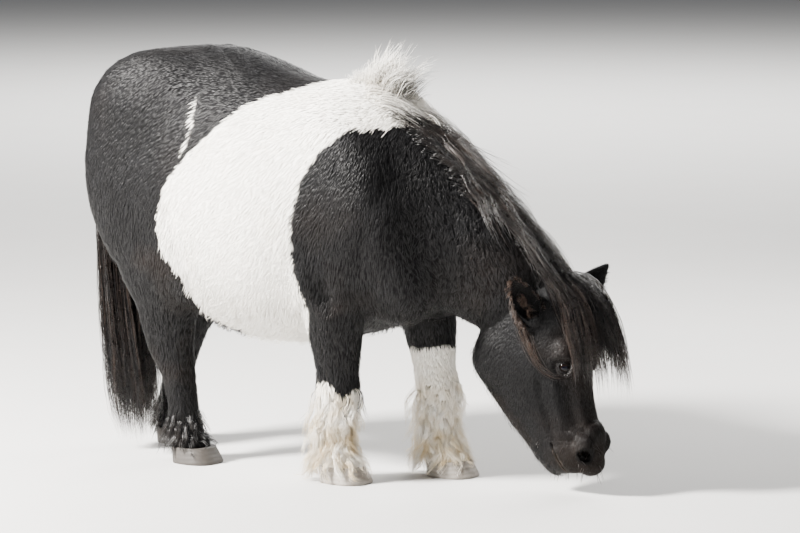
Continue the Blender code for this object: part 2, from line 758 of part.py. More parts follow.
def parted_legs(skin):
    """Takes the legs off the skin and returns them, upper and lower, with their hooves."""
    found = []
    for name, rows in legs().items():
        leg = copy_of(skin, name)
        cut(leg, [leg_sleeve(rows)], "INTERSECT")
        cut(skin, [swell(leg_sleeve(rows))])
        height = KNEE_CUT if name.startswith("fore") else HOCK_CUT
        upper = cut(copy_of(leg, name.replace("leg_", "leg_upper_")), [level_block(-1, height + GAP)])
        lower = cut(leg, [level_block(height, 3), level_block(-1, HOOF_HEIGHT + GAP)])
        lower.name = name.replace("leg_", "leg_lower_")
        found += [upper, lower, hoof(name.replace("leg_", "hoof_"), rows)]
    return found


def head_with_features(skin):
    """The head with lids, sockets, nostrils and the line of the mouth."""
    head = cut(skin, [ahead_of(POLL_CUT, GAP)], "INTERSECT")
    sides = (1, -1)
    cut(head, [ball(eye_place(side), EYE_RADIUS + LID_THICKNESS) for side in sides], "UNION")
    sockets = [ball(eye_place(side), EYE_RADIUS + GAP) for side in sides]
    cut(head, sockets + [lid_opening(side) for side in sides])
    cut(head, [nostril(1), nostril(-1), mouth_slit()])
    return head


def thinned(obj, most, kept, around):
    """The object with about so many triangles. Kept points stay, and so do those near what is around it."""
    places = KDTree(len(kept) or 1)
    for i, point in enumerate(kept):
        places.insert(point, i)
    places.balance()
    trees = []
    for piece in around:
        mesh = bmesh_of(piece)
        trees.append(BVHTree.FromBMesh(mesh))
        mesh.free()
    spare = obj.vertex_groups.new(name="spare")
    for vertex in obj.data.vertices:
        fixed = kept and places.find(vertex.co)[2] < 1e-6
        fixed = fixed or any(tree.find_nearest(vertex.co, NEIGHBOUR_REACH)[0] for tree in trees)
        spare.add([vertex.index], 0.0 if fixed else 1.0, "REPLACE")
    thin = obj.modifiers.new("thin", "DECIMATE")
    thin.ratio = most / len(obj.data.polygons)
    thin.vertex_group = spare.name
    thin.vertex_group_factor = 1.0
    applied(obj)
    obj.vertex_groups.clear()
    return obj


def grown(node, forms, around, most):
    """The node with hair forms rooted in it. They are joined first, and cut clear of what is around them."""
    hair = joined("hair", forms[:1])
    cut(hair, forms[1:], "UNION", one_body=False)
    cut(hair, [swollen(piece) for piece in around], one_body=False)
    flesh_points = [vertex.co.copy() for vertex in node.data.vertices]
    flesh_triangles = len(node.data.polygons)
    cut(node, [bmesh_of(hair)], "UNION")
    bpy.data.objects.remove(hair)
    return thinned(node, flesh_triangles + most, flesh_points, around)


def eased(obj):
    """Parts by a hair's breadth what only just touches, so that no solid meets itself in a point."""
    mesh = bmesh_of(obj)
    for _ in range(6):
        moves = {}
        places = KDTree(len(mesh.verts))
        for vertex in mesh.verts:
            places.insert(vertex.co, vertex.index)
        places.balance()
        mesh.verts.ensure_lookup_table()
        for vertex in mesh.verts:
            linked = {edge.other_vert(vertex).index for edge in vertex.link_edges}
            for _, index, _ in places.find_range(vertex.co, TOO_CLOSE):
                if index != vertex.index and index not in linked:
                    moves[vertex] = vertex.normal * -3 * TOO_CLOSE
        for face in mesh.faces:
            longest = max(face.edges, key=lambda edge: edge.calc_length())
            point = next(vertex for vertex in face.verts if vertex not in longest.verts)
            a, b = longest.verts
            along = (b.co - a.co).normalized()
            away = point.co - a.co
            away -= along * away.dot(along)
            if away.length > TOO_CLOSE:
                continue
            other = next(near for near in longest.link_faces if near is not face)
            beyond = next(vertex for vertex in other.verts if vertex not in longest.verts)
            out = a.co - beyond.co
            out -= along * out.dot(along)
            moves[point] = out.normalized() * 2 * TOO_CLOSE
        if not moves:
            break
        for vertex, move in moves.items():
            vertex.co += move
        mesh.normal_update()
    mesh.to_mesh(obj.data)
    mesh.free()
    return obj


def ears(around):
    """Both ears. Each turns its own way: the right one back and out, the left one forward and up."""
    middle = HEAD[0][5]
    return [
        ear(
            "ear_right",
            Vector((0.668, middle - 0.070, 0.412)),
            Vector((0.640, middle - 0.142, 0.526)),
            Vector((0.57, -0.80, 0.1)),
            around,
        ),
        ear(
            "ear_left",
            Vector((0.680, middle + 0.058, 0.430)),
            Vector((0.744, middle + 0.120, 0.538)),
            Vector((-0.1, 0.95, 0.1)),
            around,
        ),
    ]


def centre_all():
    """Shifts every object alike, so that the middle of the pony's box is over the origin."""
    nodes = list(bpy.context.scene.collection.objects)
    corners = [vertex.co for node in nodes for vertex in node.data.vertices]
    shift = Vector([-(min(c[i] for c in corners) + max(c[i] for c in corners)) / 2 for i in (0, 1)] + [0])
    for node in nodes:
        node.data.transform(Matrix.Translation(shift))


def main():
    clear_scene()
    skin = flesh()
    whole = copy_of(skin, "whole")
    parted = parted_legs(skin)
    front = cut(copy_of(skin, "front"), [ahead_of(WITHERS_CUT, GAP)], "INTERSECT")
    torso = cut(skin, [ahead_of(WITHERS_CUT)])
    torso.name = "torso"
    head = head_with_features(copy_of(front, "head"))
    neck = cut(front, [ahead_of(POLL_CUT)])
    neck.name = "neck"
    sides = {"eye_left": 1, "eye_right": -1}
    eyes = [joined(name, [ball(eye_place(side), EYE_RADIUS)]) for name, side in sides.items()]
    ears_made = ears([head, neck])
    combed = Combed(whole, LOCK_SEED)
    bpy.data.objects.remove(whole)
    forms = tail_locks(combed)
    tail = joined("tail", forms[:1])
    cut(tail, forms[1:], "UNION")
    cut(tail, [swollen(piece) for piece in [torso] + parted])
    thinned(tail, TAIL_TRIANGLES, [], [torso] + parted)
    grown(neck, mane_locks(combed), [torso, head] + ears_made, MANE_TRIANGLES)
    grown(head, forelock_locks(combed), [neck] + ears_made + eyes, FORELOCK_TRIANGLES)
    for name, rows in legs().items():
        lower = bpy.data.objects[name.replace("leg_", "leg_lower_")]
        around = [piece for piece in parted if piece is not lower] + [torso, tail]
        if name.startswith("fore"):
            locks, most = feather_locks(combed, rows, *FORE_FEATHER), FORE_FEATHER_TRIANGLES
        else:
            locks, most = feather_locks(combed, rows, *HIND_FEATHER), HIND_FEATHER_TRIANGLES
        grown(lower, locks, around, most)
    for node in bpy.context.scene.collection.objects:
        eased(node)
        finish(node, FINISH_OF.get(node.name.split("_")[0], "coat_black"))
    centre_all()


if __name__ == "__main__":
    main()
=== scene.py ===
import json
import math

import bmesh
import bpy
import numpy as np
from mathutils import Matrix, Vector
from mathutils.bvhtree import BVHTree
from mathutils.geometry import barycentric_transform
from mathutils.kdtree import KDTree

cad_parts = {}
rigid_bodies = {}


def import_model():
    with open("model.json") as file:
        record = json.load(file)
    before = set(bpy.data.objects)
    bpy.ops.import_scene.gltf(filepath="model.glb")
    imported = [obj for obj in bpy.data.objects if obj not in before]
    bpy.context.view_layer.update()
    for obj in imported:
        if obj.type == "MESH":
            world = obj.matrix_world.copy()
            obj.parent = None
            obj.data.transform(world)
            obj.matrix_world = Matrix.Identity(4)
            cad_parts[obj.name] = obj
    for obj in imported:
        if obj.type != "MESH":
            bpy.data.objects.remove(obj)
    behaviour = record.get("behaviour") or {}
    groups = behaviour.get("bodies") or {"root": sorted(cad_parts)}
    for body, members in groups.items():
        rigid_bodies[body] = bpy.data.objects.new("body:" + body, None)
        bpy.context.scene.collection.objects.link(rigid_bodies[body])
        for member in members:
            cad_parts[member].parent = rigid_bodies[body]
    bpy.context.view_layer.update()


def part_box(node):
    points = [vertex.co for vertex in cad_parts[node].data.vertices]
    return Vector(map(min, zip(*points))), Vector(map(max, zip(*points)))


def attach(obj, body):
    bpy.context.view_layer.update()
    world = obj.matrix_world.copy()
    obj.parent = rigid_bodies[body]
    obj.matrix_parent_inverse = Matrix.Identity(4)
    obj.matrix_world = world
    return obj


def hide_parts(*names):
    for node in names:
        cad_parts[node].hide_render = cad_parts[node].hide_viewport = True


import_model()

# The pony is made in its drawing's frame, in metres, and every finished piece is then shifted to the part's
wider = 1
goldenTurn = math.tau * 0.381966  # spreads guides evenly round a leg or the tail
eyeLow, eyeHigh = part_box("eye_right")
shift = (Vector(eyeLow) + Vector(eyeHigh)) / 2 - Vector((0.734, 0.037, 0.309))
middleOfHead = 0.090  # its distance to the left

# A section is (top x, top z, low x, low z, half width, distance to the left)
trunkRows = [
    (-0.605, 0.860, -0.590, 0.690, 0.090, 0.000),
    (-0.520, 0.990, -0.500, 0.520, 0.190, 0.000),
    (-0.400, 1.042, -0.380, 0.405, 0.238, 0.000),
    (-0.250, 1.053, -0.240, 0.345, 0.262, 0.000),
    (-0.100, 1.021, -0.100, 0.318, 0.280, 0.000),
    (0.040, 0.973, 0.020, 0.318, 0.275, 0.000),
    (0.160, 0.980, 0.120, 0.338, 0.245, 0.000),
    (0.270, 0.960, 0.240, 0.362, 0.205, 0.000),
    (0.370, 0.880, 0.340, 0.405, 0.160, 0.000),
    (0.430, 0.760, 0.410, 0.500, 0.090, 0.000),
]
neckRows = [
    (0.120, 0.945, 0.280, 0.480, 0.145, 0.000),
    (0.300, 0.925, 0.350, 0.440, 0.150, 0.005),
    (0.425, 0.845, 0.390, 0.428, 0.138, 0.020),
    (0.530, 0.735, 0.425, 0.405, 0.120, 0.040),
    (0.630, 0.620, 0.462, 0.378, 0.106, 0.065),
    (0.695, 0.530, 0.520, 0.350, 0.092, 0.085),
]
headRows = [
    (0.665, 0.525, 0.510, 0.440, 0.060, 0.090),
    (0.722, 0.495, 0.468, 0.375, 0.082, 0.090),
    (0.755, 0.430, 0.455, 0.300, 0.095, 0.090),
    (0.766, 0.360, 0.485, 0.250, 0.096, 0.090),
    (0.766, 0.290, 0.525, 0.200, 0.082, 0.090),
    (0.772, 0.230, 0.562, 0.155, 0.067, 0.090),
    (0.788, 0.170, 0.602, 0.115, 0.061, 0.090),
    (0.806, 0.120, 0.633, 0.080, 0.060, 0.090),
    (0.806, 0.083, 0.666, 0.055, 0.050, 0.090),
    (0.782, 0.055, 0.700, 0.045, 0.032, 0.090),
]
crestPoints = [
    (0.215, 0.000, 0.975),
    (0.300, 0.005, 0.925),
    (0.425, 0.020, 0.845),
    (0.530, 0.040, 0.735),
    (0.630, 0.065, 0.620),
    (0.690, 0.084, 0.545),
]
tailPoints = [
    (-0.560, 0.000, 0.840),
    (-0.600, 0.000, 0.800),
    (-0.606, -0.003, 0.700),
    (-0.590, -0.008, 0.560),
    (-0.566, -0.015, 0.400),
    (-0.538, -0.026, 0.200),
    (-0.520, -0.030, 0.060),
    (-0.516, -0.032, 0.014),
]
# A leg's section is (front x, back x, z, half width, distance outward)
forelegRows = [
    (0.285, 0.080, 0.560, 0.070, 0.150),
    (0.272, 0.080, 0.480, 0.074, 0.140),
    (0.258, 0.096, 0.400, 0.067, 0.128),
    (0.244, 0.112, 0.330, 0.058, 0.118),
    (0.234, 0.121, 0.265, 0.050, 0.112),
    (0.236, 0.118, 0.215, 0.052, 0.110),
    (0.218, 0.128, 0.165, 0.044, 0.110),
    (0.214, 0.130, 0.120, 0.041, 0.110),
    (0.224, 0.118, 0.076, 0.047, 0.110),
    (0.232, 0.132, 0.050, 0.046, 0.110),
    (0.246, 0.124, 0.030, 0.050, 0.110),
]
hindlegRows = [
    (-0.150, -0.500, 0.660, 0.080, 0.150),
    (-0.165, -0.490, 0.560, 0.085, 0.150),
    (-0.205, -0.470, 0.460, 0.074, 0.135),
    (-0.257, -0.432, 0.380, 0.058, 0.120),
    (-0.274, -0.418, 0.310, 0.050, 0.112),
    (-0.277, -0.402, 0.270, 0.048, 0.110),
    (-0.274, -0.365, 0.215, 0.044, 0.108),
    (-0.268, -0.348, 0.150, 0.040, 0.106),
    (-0.258, -0.345, 0.085, 0.046, 0.104),
    (-0.240, -0.335, 0.055, 0.046, 0.104),
    (-0.220, -0.338, 0.030, 0.051, 0.104),
]
legStride = {"foreleg_left": (0.165, 0.90), "hindleg_left": (-0.220, 0.66)}  # how far ahead, up to a height
withersPlane = ((0.210, 0.970), (0.370, 0.420))
pollPlane = ((0.665, 0.530), (0.470, 0.330))


# shapes

def between(a, b, c, d, t):
    return 0.5 * (2 * b + (c - a) * t + (2 * a - 5 * b + 4 * c - d) * t * t + (3 * b - a - 3 * c + d) * t**3)


def smoothRows(rows, steps):  # Catmull-Rom rows between the given ones
    found = []
    for i in range(len(rows) - 1):
        around = [rows[max(0, min(len(rows) - 1, i + k))] for k in (-1, 0, 1, 2)]
        for step in range(steps):
            found.append(tuple(between(*values, step / steps) for values in zip(*around)))
    return found + [tuple(rows[-1])]


def tube(rings):
    made = bmesh.new()
    loops = [[made.verts.new(point) for point in ring] for ring in rings]
    for a, b in zip(loops, loops[1:]):
        for i in range(len(a)):
            j = (i + 1) % len(a)
            made.faces.new((a[i], a[j], b[j]))
            made.faces.new((a[i], b[j], b[i]))
    made.faces.new(list(reversed(loops[0])))
    made.faces.new(loops[-1])
    bmesh.ops.recalc_face_normals(made, faces=made.faces)
    return made


def sectionRing(section, sides, pear):
    topX, topZ, lowX, lowZ, halfWidth, left = section
    top, low = Vector((topX, left, topZ)), Vector((lowX, left, lowZ))
    centre, up = (top + low) / 2, (top - low) / 2
    points = []
    for i in range(sides):
        angle = math.tau * i / sides
        across = halfWidth * math.sin(angle) * (1 - pear * math.cos(angle))
        points.append(centre + up * math.cos(angle) + Vector((0, across, 0)))
    return points


def loft(sections, pear=0.0, sides=28, steps=4):
    return tube([sectionRing(section, sides, pear) for section in smoothRows(sections, steps)])


def placedLeg(name):
    stride, reach = legStride.get(name, (0, 1))
    side = 1 if name.endswith("left") else -1
    rows = []
    for front, back, z, halfWidth, out in forelegRows if name.startswith("fore") else hindlegRows:
        ahead = stride * 0.5 * (1 + math.cos(math.pi * min(1, z / reach)))
        rows.append((front + ahead, z, back + ahead, z, halfWidth, side * out))
    return rows


legNames = ("foreleg_right", "foreleg_left", "hindleg_right", "hindleg_left")
legPlaces = {name: placedLeg(name) for name in legNames}


def sphere(place, segments, rings):
    # Blender gives a sphere's faces in an order that differs from run to run, so they are put in order here
    unsorted, made = bmesh.new(), bmesh.new()
    bmesh.ops.create_uvsphere(unsorted, u_segments=segments, v_segments=rings, radius=1, matrix=place)
    unsorted.verts.index_update()
    faces = []
    for face in unsorted.faces:
        corners = [vertex.index for vertex in face.verts]
        first = corners.index(min(corners))
        faces.append(corners[first:] + corners[:first])
    vertices = [made.verts.new(vertex.co) for vertex in unsorted.verts]
    for corners in sorted(faces):
        made.faces.new([vertices[k] for k in corners])
    unsorted.free()
    return made


def mass(centre, radii, pitch=0.0, segments=28):
    turn = Matrix.Rotation(math.radians(pitch), 4, "Y")
    place = Matrix.Translation(centre) @ turn @ Matrix.Diagonal((*radii, 1))
    return sphere(place, segments, segments // 2 + 2)


def bothSides(centre, radii, pitch=0.0):
    x, y, z = centre
    return [mass((x, y, z), radii, pitch), mass((x, -y, z), radii, pitch)]


def added(name, data):  # a new object in the scene
    obj = bpy.data.objects.new(name, data)
    bpy.context.scene.collection.objects.link(obj)
    return obj


def joined(name, pieces):
    whole = bmesh.new()
    for piece in pieces:
        mesh = bpy.data.meshes.new("piece")
        piece.to_mesh(mesh)
        piece.free()
        whole.from_mesh(mesh)
        bpy.data.meshes.remove(mesh)
    mesh = bpy.data.meshes.new(name)
    whole.to_mesh(mesh)
    whole.free()
    return added(name, mesh)


def applied(obj):  # the object with its modifiers made part of its mesh
    graph = bpy.context.evaluated_depsgraph_get()
    mesh = bpy.data.meshes.new_from_object(obj.evaluated_get(graph))
    old = obj.data
    obj.modifiers.clear()
    obj.data = mesh
    bpy.data.meshes.remove(old)
    return obj


def fused(obj, voxel, rounds):
    remesh = obj.modifiers.new("fuse", "REMESH")
    remesh.mode = "VOXEL"
    remesh.voxel_size = voxel
    relax = obj.modifiers.new("relax", "SMOOTH")
    relax.factor = 0.5
    relax.iterations = rounds
    return applied(obj)


def bmeshOf(obj):
    made = bmesh.new()
    made.from_mesh(obj.data)
    return made


def cut(obj, tools, operation="DIFFERENCE"):
    group = bpy.data.collections.new("tools")
    bpy.context.scene.collection.children.link(group)
    for tool in tools:
        piece = joined("tool", [tool])
        bpy.context.scene.collection.objects.unlink(piece)
        group.objects.link(piece)
    boolean = obj.modifiers.new("cut", "BOOLEAN")
    boolean.operand_type = "COLLECTION"
    boolean.collection = group
    boolean.operation = operation
    boolean.solver = "MANIFOLD"
    applied(obj)
    for piece in list(group.objects):
        bpy.data.objects.remove(piece)
    bpy.data.collections.remove(group)
    return obj


def smoothStep(low, high, value):
    t = np.clip((value - low) / (high - low), 0, 1)
    return t * t * (3 - 2 * t)


def aheadOf(plane, x, z):  # signed distance in front of the upright plane through two side-view points
    (highX, highZ), (lowX, lowZ) = plane
    length = math.hypot(highX - lowX, highZ - lowZ)
    upX, upZ = (highX - lowX) / length, (highZ - lowZ) / length
    return (x - lowX) * upZ - (z - lowZ) * upX


def ripple(points, seed, scale):  # smooth noise of three values from -1 to 1
    draw = np.random.default_rng(seed)
    total = np.zeros((len(points), 3))
    for octave in range(5):
        waves = draw.normal(size=(3, 3)) * scale * (0.6 + 0.35 * octave)
        phase = draw.uniform(0, math.tau, 3)
        total += np.sin(points @ waves + phase) / 5
    return total * 1.6


# where things are on the pony

eyePlan = {"radius": 0.019, "lid": 0.0028, "open": (0.017, 0.0155, 0.0086), "gap": 0.0003}
earPlan = {
    "right": {"base": (0.668, 0.020, 0.412), "tip": (0.640, -0.052, 0.526), "opening": (0.57, -0.80, 0.1)},
    "left": {"base": (0.680, 0.148, 0.430), "tip": (0.744, 0.210, 0.538), "opening": (-0.1, 0.95, 0.1)},
}
earOuter = (0.0352, 0.0232)  # half width and half depth
earHollow = (0.0310, 0.0215, 0.16, 0.955, 0.0090)  # and its start, end and shift towards the opening


def eyePlace(side):
    return Vector((0.734, middleOfHead + side * 0.053, 0.309))


def eyeLook(side):
    return Vector((0.50, side * 0.86, 0.05)).normalized()


def eyeFrame(side):  # the look, the way across the eye, and the way up its long axis
    look = eyeLook(side)
    across = Vector((0.50, 0, 1)).cross(look).normalized()
    return look, across, look.cross(across)


def lidDistance(points, side):  # 1 at the edge of the lids, and 0 inside the socket
    away = points - np.array(eyePlace(side))
    look, across, up = (np.array(v) for v in eyeFrame(side))
    ring = np.hypot(away @ across / eyePlan["open"][1], away @ up / eyePlan["open"][2])
    ring = np.where(away @ look > 0, ring, 9.0)
    return np.where(np.linalg.norm(away, axis=1) < eyePlan["radius"] + 0.0022, 0.0, ring)


def nostrilPlace(side):
    return Vector((0.789, middleOfHead + side * 0.046, 0.101))


def midPlane(points):
    head = smoothStep(-0.03, 0.02, aheadOf(pollPlane, points[:, 0], points[:, 2]))
    along = [0.25, 0.30, 0.425, 0.53, 0.63, 0.70]
    neck = np.interp(points[:, 0], along, [0, 0.005, 0.02, 0.04, 0.065, middleOfHead])
    return neck * (1 - head) + middleOfHead * head


def legNearness(points, name):  # under 1 inside the leg's column
    rows = np.array(smoothRows(legPlaces[name], 3))[::-1]
    front, back, half, left = (np.interp(points[:, 2], rows[:, 1], rows[:, k]) for k in (0, 2, 4, 5))
    across = (points[:, 0] - (front + back) / 2) / ((front - back) / 2 + 0.012)
    out = (points[:, 1] - left) / (half + 0.012)
    return np.sqrt(across**2 + out**2)


def regions(points):  # shares of each part of the body at each point
    x, z = points[:, 0], points[:, 2]
    found = {"head": smoothStep(-0.02, 0.03, aheadOf(pollPlane, x, z))}
    found["neck"] = smoothStep(-0.05, 0.05, aheadOf(withersPlane, x, z)) * (1 - found["head"])
    legs = np.zeros(len(points))
    for name in legNames:
        near = 1 - smoothStep(1.15, 1.6, legNearness(points, name))
        legs = np.maximum(legs, near * (1 - smoothStep(0.34, 0.46, z)))
    legs = np.maximum(legs, 1 - smoothStep(0.26, 0.30, z)) * (x < 0.45)
    found["legs"] = legs * (1 - found["head"])
    ears = np.zeros(len(points))
    for ear in earPlan.values():
        base, tip = np.array(ear["base"]), np.array(ear["tip"])
        axis = tip - base
        t = np.clip(((points - base) @ axis) / (axis @ axis), 0, 1.2)
        away = np.linalg.norm(points - base - t[:, None] * axis, axis=1)
        ears = np.maximum(ears, smoothStep(0.16, 0.30, t) * (1 - smoothStep(0.038, 0.044, away)))
    found["ears"] = ears
    for name in ("head", "neck", "legs"):
        found[name] = found[name] * (1 - ears)
    found["trunk"] = np.clip(1 - found["head"] - found["neck"] - found["legs"] - ears, 0, 1)
    return found


# markings

# Side-view edges of the white saddle on each side, from the spine down the back edge and up the front edge
whiteSaddle = {
    "right": [
        (0.098, 1.10), (0.090, 0.970), (0.029, 0.946), (-0.016, 0.930), (-0.053, 0.910), (-0.107, 0.850),
        (-0.167, 0.800), (-0.237, 0.724), (-0.273, 0.623), (-0.268, 0.548), (-0.222, 0.475), (-0.206, 0.400),
        (-0.151, 0.366), (-0.110, 0.350), (-0.100, 0.250), (0.110, 0.250), (0.120, 0.355), (0.147, 0.407),
        (0.150, 0.452), (0.130, 0.526), (0.134, 0.624), (0.152, 0.743), (0.195, 0.815), (0.254, 0.868),
        (0.317, 0.862), (0.355, 0.883), (0.365, 1.10),
    ],
    "left": [
        (0.098, 1.10), (0.090, 0.970), (0.020, 0.930), (-0.060, 0.865), (-0.145, 0.775), (-0.200, 0.670),
        (-0.205, 0.570), (-0.175, 0.480), (-0.150, 0.400), (-0.115, 0.350), (-0.100, 0.250), (0.110, 0.250),
        (0.135, 0.360), (0.125, 0.440), (0.105, 0.530), (0.115, 0.630), (0.160, 0.730), (0.225, 0.800),
        (0.290, 0.845), (0.355, 0.883), (0.365, 1.10),
    ],
}
whiteStreak = [(-0.197, 0.925), (-0.188, 0.880), (-0.181, 0.847), (-0.189, 0.805), (-0.200, 0.780)]
whiteStreakWidth = 0.010
whiteEdge = 0.005  # how far its edges wander


def awayFrom(path, x, z):  # distance from a side-view line
    best = np.full(len(x), 9.0)
    for (ax, az), (bx, bz) in zip(path, path[1:]):
        dx, dz = bx - ax, bz - az
        t = np.clip(((x - ax) * dx + (z - az) * dz) / (dx * dx + dz * dz), 0, 1)
        best = np.minimum(best, np.hypot(x - ax - t * dx, z - az - t * dz))
    return best


def insidePolygon(x, z, corners):  # signed distance, above 0 inside
    path = corners + corners[:1]
    inside = np.zeros(len(x), bool)
    for (ax, az), (bx, bz) in zip(path, path[1:]):
        inside ^= ((az > z) != (bz > z)) & (x < (bx - ax) * (z - az) / (bz - az + 1e-12) + ax)
    best = awayFrom(path, x, z)
    return np.where(inside, best, -best)


def whiteDepth(points):  # how far inside the white a point is, in metres
    x, y, z = points.T
    right = insidePolygon(x, z, whiteSaddle["right"])
    left = insidePolygon(x, z, whiteSaddle["left"])
    onLeft = smoothStep(-0.08, 0.08, y - 0.14 * smoothStep(0.55, 0.40, z))
    depth = right * (1 - onLeft) + left * onLeft
    narrower = 0.04 * np.maximum(0, 0.86 - z)  # towards the streak's lower end
    streak = np.where(y < -0.10, whiteStreakWidth / 2 - narrower - awayFrom(whiteStreak, x, z), -9.0)
    depth = np.maximum(depth, streak)
    # the right sock's upper edge has a black tongue, and the left one's slants
    tongue = 0.245 - 0.030 * np.exp(-((x - 0.215) / 0.020) ** 2) - 0.02 * (x < 0.14)
    rightSock = np.where((y < 0) & (x > 0.02) & (x < 0.45), tongue - z, -9.0)
    leftSock = np.where((y > 0) & (x > 0.12) & (x < 0.46), 0.318 + 0.10 * (x - 0.33) - z, -9.0)
    return np.maximum(depth, np.maximum(rightSock, leftSock)) + whiteEdge * ripple(points, 41, 55)[:, 0]


# the skin

skinPlan = {
    "coarseVoxel": 0.011,  # the trunk's muscles are fused on this grid, and the whole on the finer one
    "fineVoxel": 0.0028,
    "relax": 26,
    "triangles": 87000,  # before the lids, muzzle and ears are refined
    "edge": 0.006,  # so near the markings' edges the mesh stays fine
    # the coat's depth over each part
    "under": {"trunk": 0.0050, "neck": 0.0065, "legs": 0.0040, "head": 0.0016, "ears": 0.0},
}


def trunkMasses():
    pieces = [loft(trunkRows, pear=0.10), loft(neckRows)]
    pieces += bothSides((-0.37, 0.105, 0.862), (0.225, 0.130, 0.182))  # croup
    pieces += bothSides((-0.41, 0.128, 0.700), (0.175, 0.116, 0.270), pitch=-10)  # buttock and thigh
    pieces += bothSides((-0.30, 0.150, 0.560), (0.165, 0.088, 0.170), pitch=-20)  # stifle
    pieces += bothSides((0.23, 0.130, 0.690), (0.150, 0.098, 0.230), pitch=-20)  # shoulder
    pieces += bothSides((0.16, 0.150, 0.540), (0.130, 0.076, 0.150), pitch=12)  # upper arm
    pieces += bothSides((0.35, 0.075, 0.500), (0.095, 0.090, 0.115))  # breast
    return pieces


def onHead(x, aside, z, radii, pitch=0.0):  # a mass beside the head's middle
    return mass((x, middleOfHead + aside, z), radii, pitch)


def headMasses():
    pieces = [loft(headRows)]
    for side in (1, -1):
        pieces.append(onHead(0.575, side * 0.052, 0.330, (0.100, 0.046, 0.090), pitch=-25))  # jowl
        pieces.append(onHead(0.728, side * 0.050, 0.347, (0.034, 0.030, 0.038)))  # brow
        pieces.append(onHead(0.775, side * 0.034, 0.118, (0.030, 0.028, 0.036)))  # the nostril's wing
    pieces.append(onHead(0.690, 0, 0.072, (0.036, 0.036, 0.030)))  # chin and lower lip
    pieces.append(onHead(0.776, 0, 0.077, (0.032, 0.042, 0.034)))  # upper lip
    pieces.append(onHead(0.778, 0, 0.130, (0.030, 0.040, 0.052), pitch=8))  # nose over the nostrils
    return pieces


# An ear's section: how far up, and its shares of the full width and depth
earProfile = [
    (0.0, 0.60, 0.80), (0.15, 0.84, 1.0), (0.35, 1.0, 0.95),
    (0.6, 0.84, 0.70), (0.82, 0.46, 0.45), (1.0, 0.07, 0.12),
]


def earAxes(ear):  # its base, the way to its tip, across it, and out of its opening
    base, tip, opening = (Vector(ear[key]) for key in ("base", "tip", "opening"))
    axis = tip - base
    across = axis.cross(opening).normalized()
    out = across.cross(axis).normalized()
    return base, axis, across, out if out.dot(opening) > 0 else -out


def earShape(ear, halfWidth, halfDepth, start=0.0, end=1.0, push=0.0, sides=28):
    base, axis, across, out = earAxes(ear)
    angles = [math.tau * i / sides for i in range(sides)]
    rings = []
    for t, width, depth in smoothRows(earProfile, 5):
        t = start + (end - start) * t
        centre = base + axis * t + out * (push - 0.010 * math.sin(math.pi * t))
        wide, deep = across * halfWidth * width, out * halfDepth * depth
        rings.append([centre + wide * math.cos(angle) + deep * math.sin(angle) for angle in angles])
    return tube(rings)


def refine(made, centre, radius, longest):  # splits the long edges near a point
    for _ in range(3):  # each round halves them
        near = [
            edge for edge in made.edges
            if edge.calc_length() > longest and all((end.co - centre).length < radius for end in edge.verts)
        ]
        if not near:
            break
        bmesh.ops.subdivide_edges(made, edges=near, cuts=1, use_grid_fill=False)
        bmesh.ops.triangulate(made, faces=[face for face in made.faces if len(face.verts) > 3])


def relaxNear(made, centre, radius, rounds):
    near = [vertex for vertex in made.verts if (vertex.co - centre).length < radius]
    axes = {"use_axis_x": True, "use_axis_y": True, "use_axis_z": True}
    for _ in range(rounds):
        bmesh.ops.smooth_vert(made, verts=near, factor=0.5, **axes)


def vertexVectors(mesh, kind):
    flat = np.empty(len(mesh.vertices) * 3)
    mesh.vertices.foreach_get(kind, flat)
    return flat.reshape(-1, 3)


def underCoat(obj):  # moves the skin in by the depth of the coat over it
    points, normals = vertexVectors(obj.data, "co"), vertexVectors(obj.data, "normal")
    share = regions(points)
    depth = sum(share[name] * amount for name, amount in skinPlan["under"].items())
    obj.data.vertices.foreach_set("co", (points - normals * depth[:, None]).ravel())
    obj.data.update()


# Folds round the lids: where, how high, how far from the eye's middle, and half their width
lidFolds = [
    ("all", 0.0007, 0.0200, 0.0026), ("above", -0.0016, 0.0250, 0.0020), ("below", 0.0010, 0.0300, 0.0022),
    ("behind", -0.0012, 0.0345, 0.0022), ("above", 0.0052, 0.0340, 0.0075),
]


def eyelids(made, side):  # rounds the lids' edges and lays folds round them
    centre = eyePlace(side)
    look, across, up = eyeFrame(side)
    refine(made, centre, 0.046, 0.0016)
    relaxNear(made, centre, 0.031, 5)
    made.normal_update()
    for vertex in made.verts:
        away = vertex.co - centre
        if away.length > 0.060:
            continue
        if away.dot(look) > 0.0:
            a, u = away.dot(across), away.dot(up)
            angle = math.atan2(u, -side * a)
            wobble = 1 + 0.05 * math.sin(2 * angle + 0.6) + 0.03 * math.sin(5 * angle)
            ring = math.hypot(a * 0.92, u * 1.12) * wobble
            above = 0.5 + 0.5 * math.sin(angle)
            rear = 0.5 - 0.5 * math.cos(angle)
            share = {"all": 1, "above": above, "below": 1 - above, "behind": rear * (1 - above)}
            lift = sum(
                share[where] * amount * math.exp(-((ring - far) / reach) ** 2)
                for where, amount, far, reach in lidFolds)
            vertex.co += vertex.normal * lift
        away = vertex.co - centre
        least = eyePlan["radius"] + eyePlan["gap"]
        if away.length < least + 0.0004:
            vertex.co = centre + away.normalized() * (least + 0.0004)


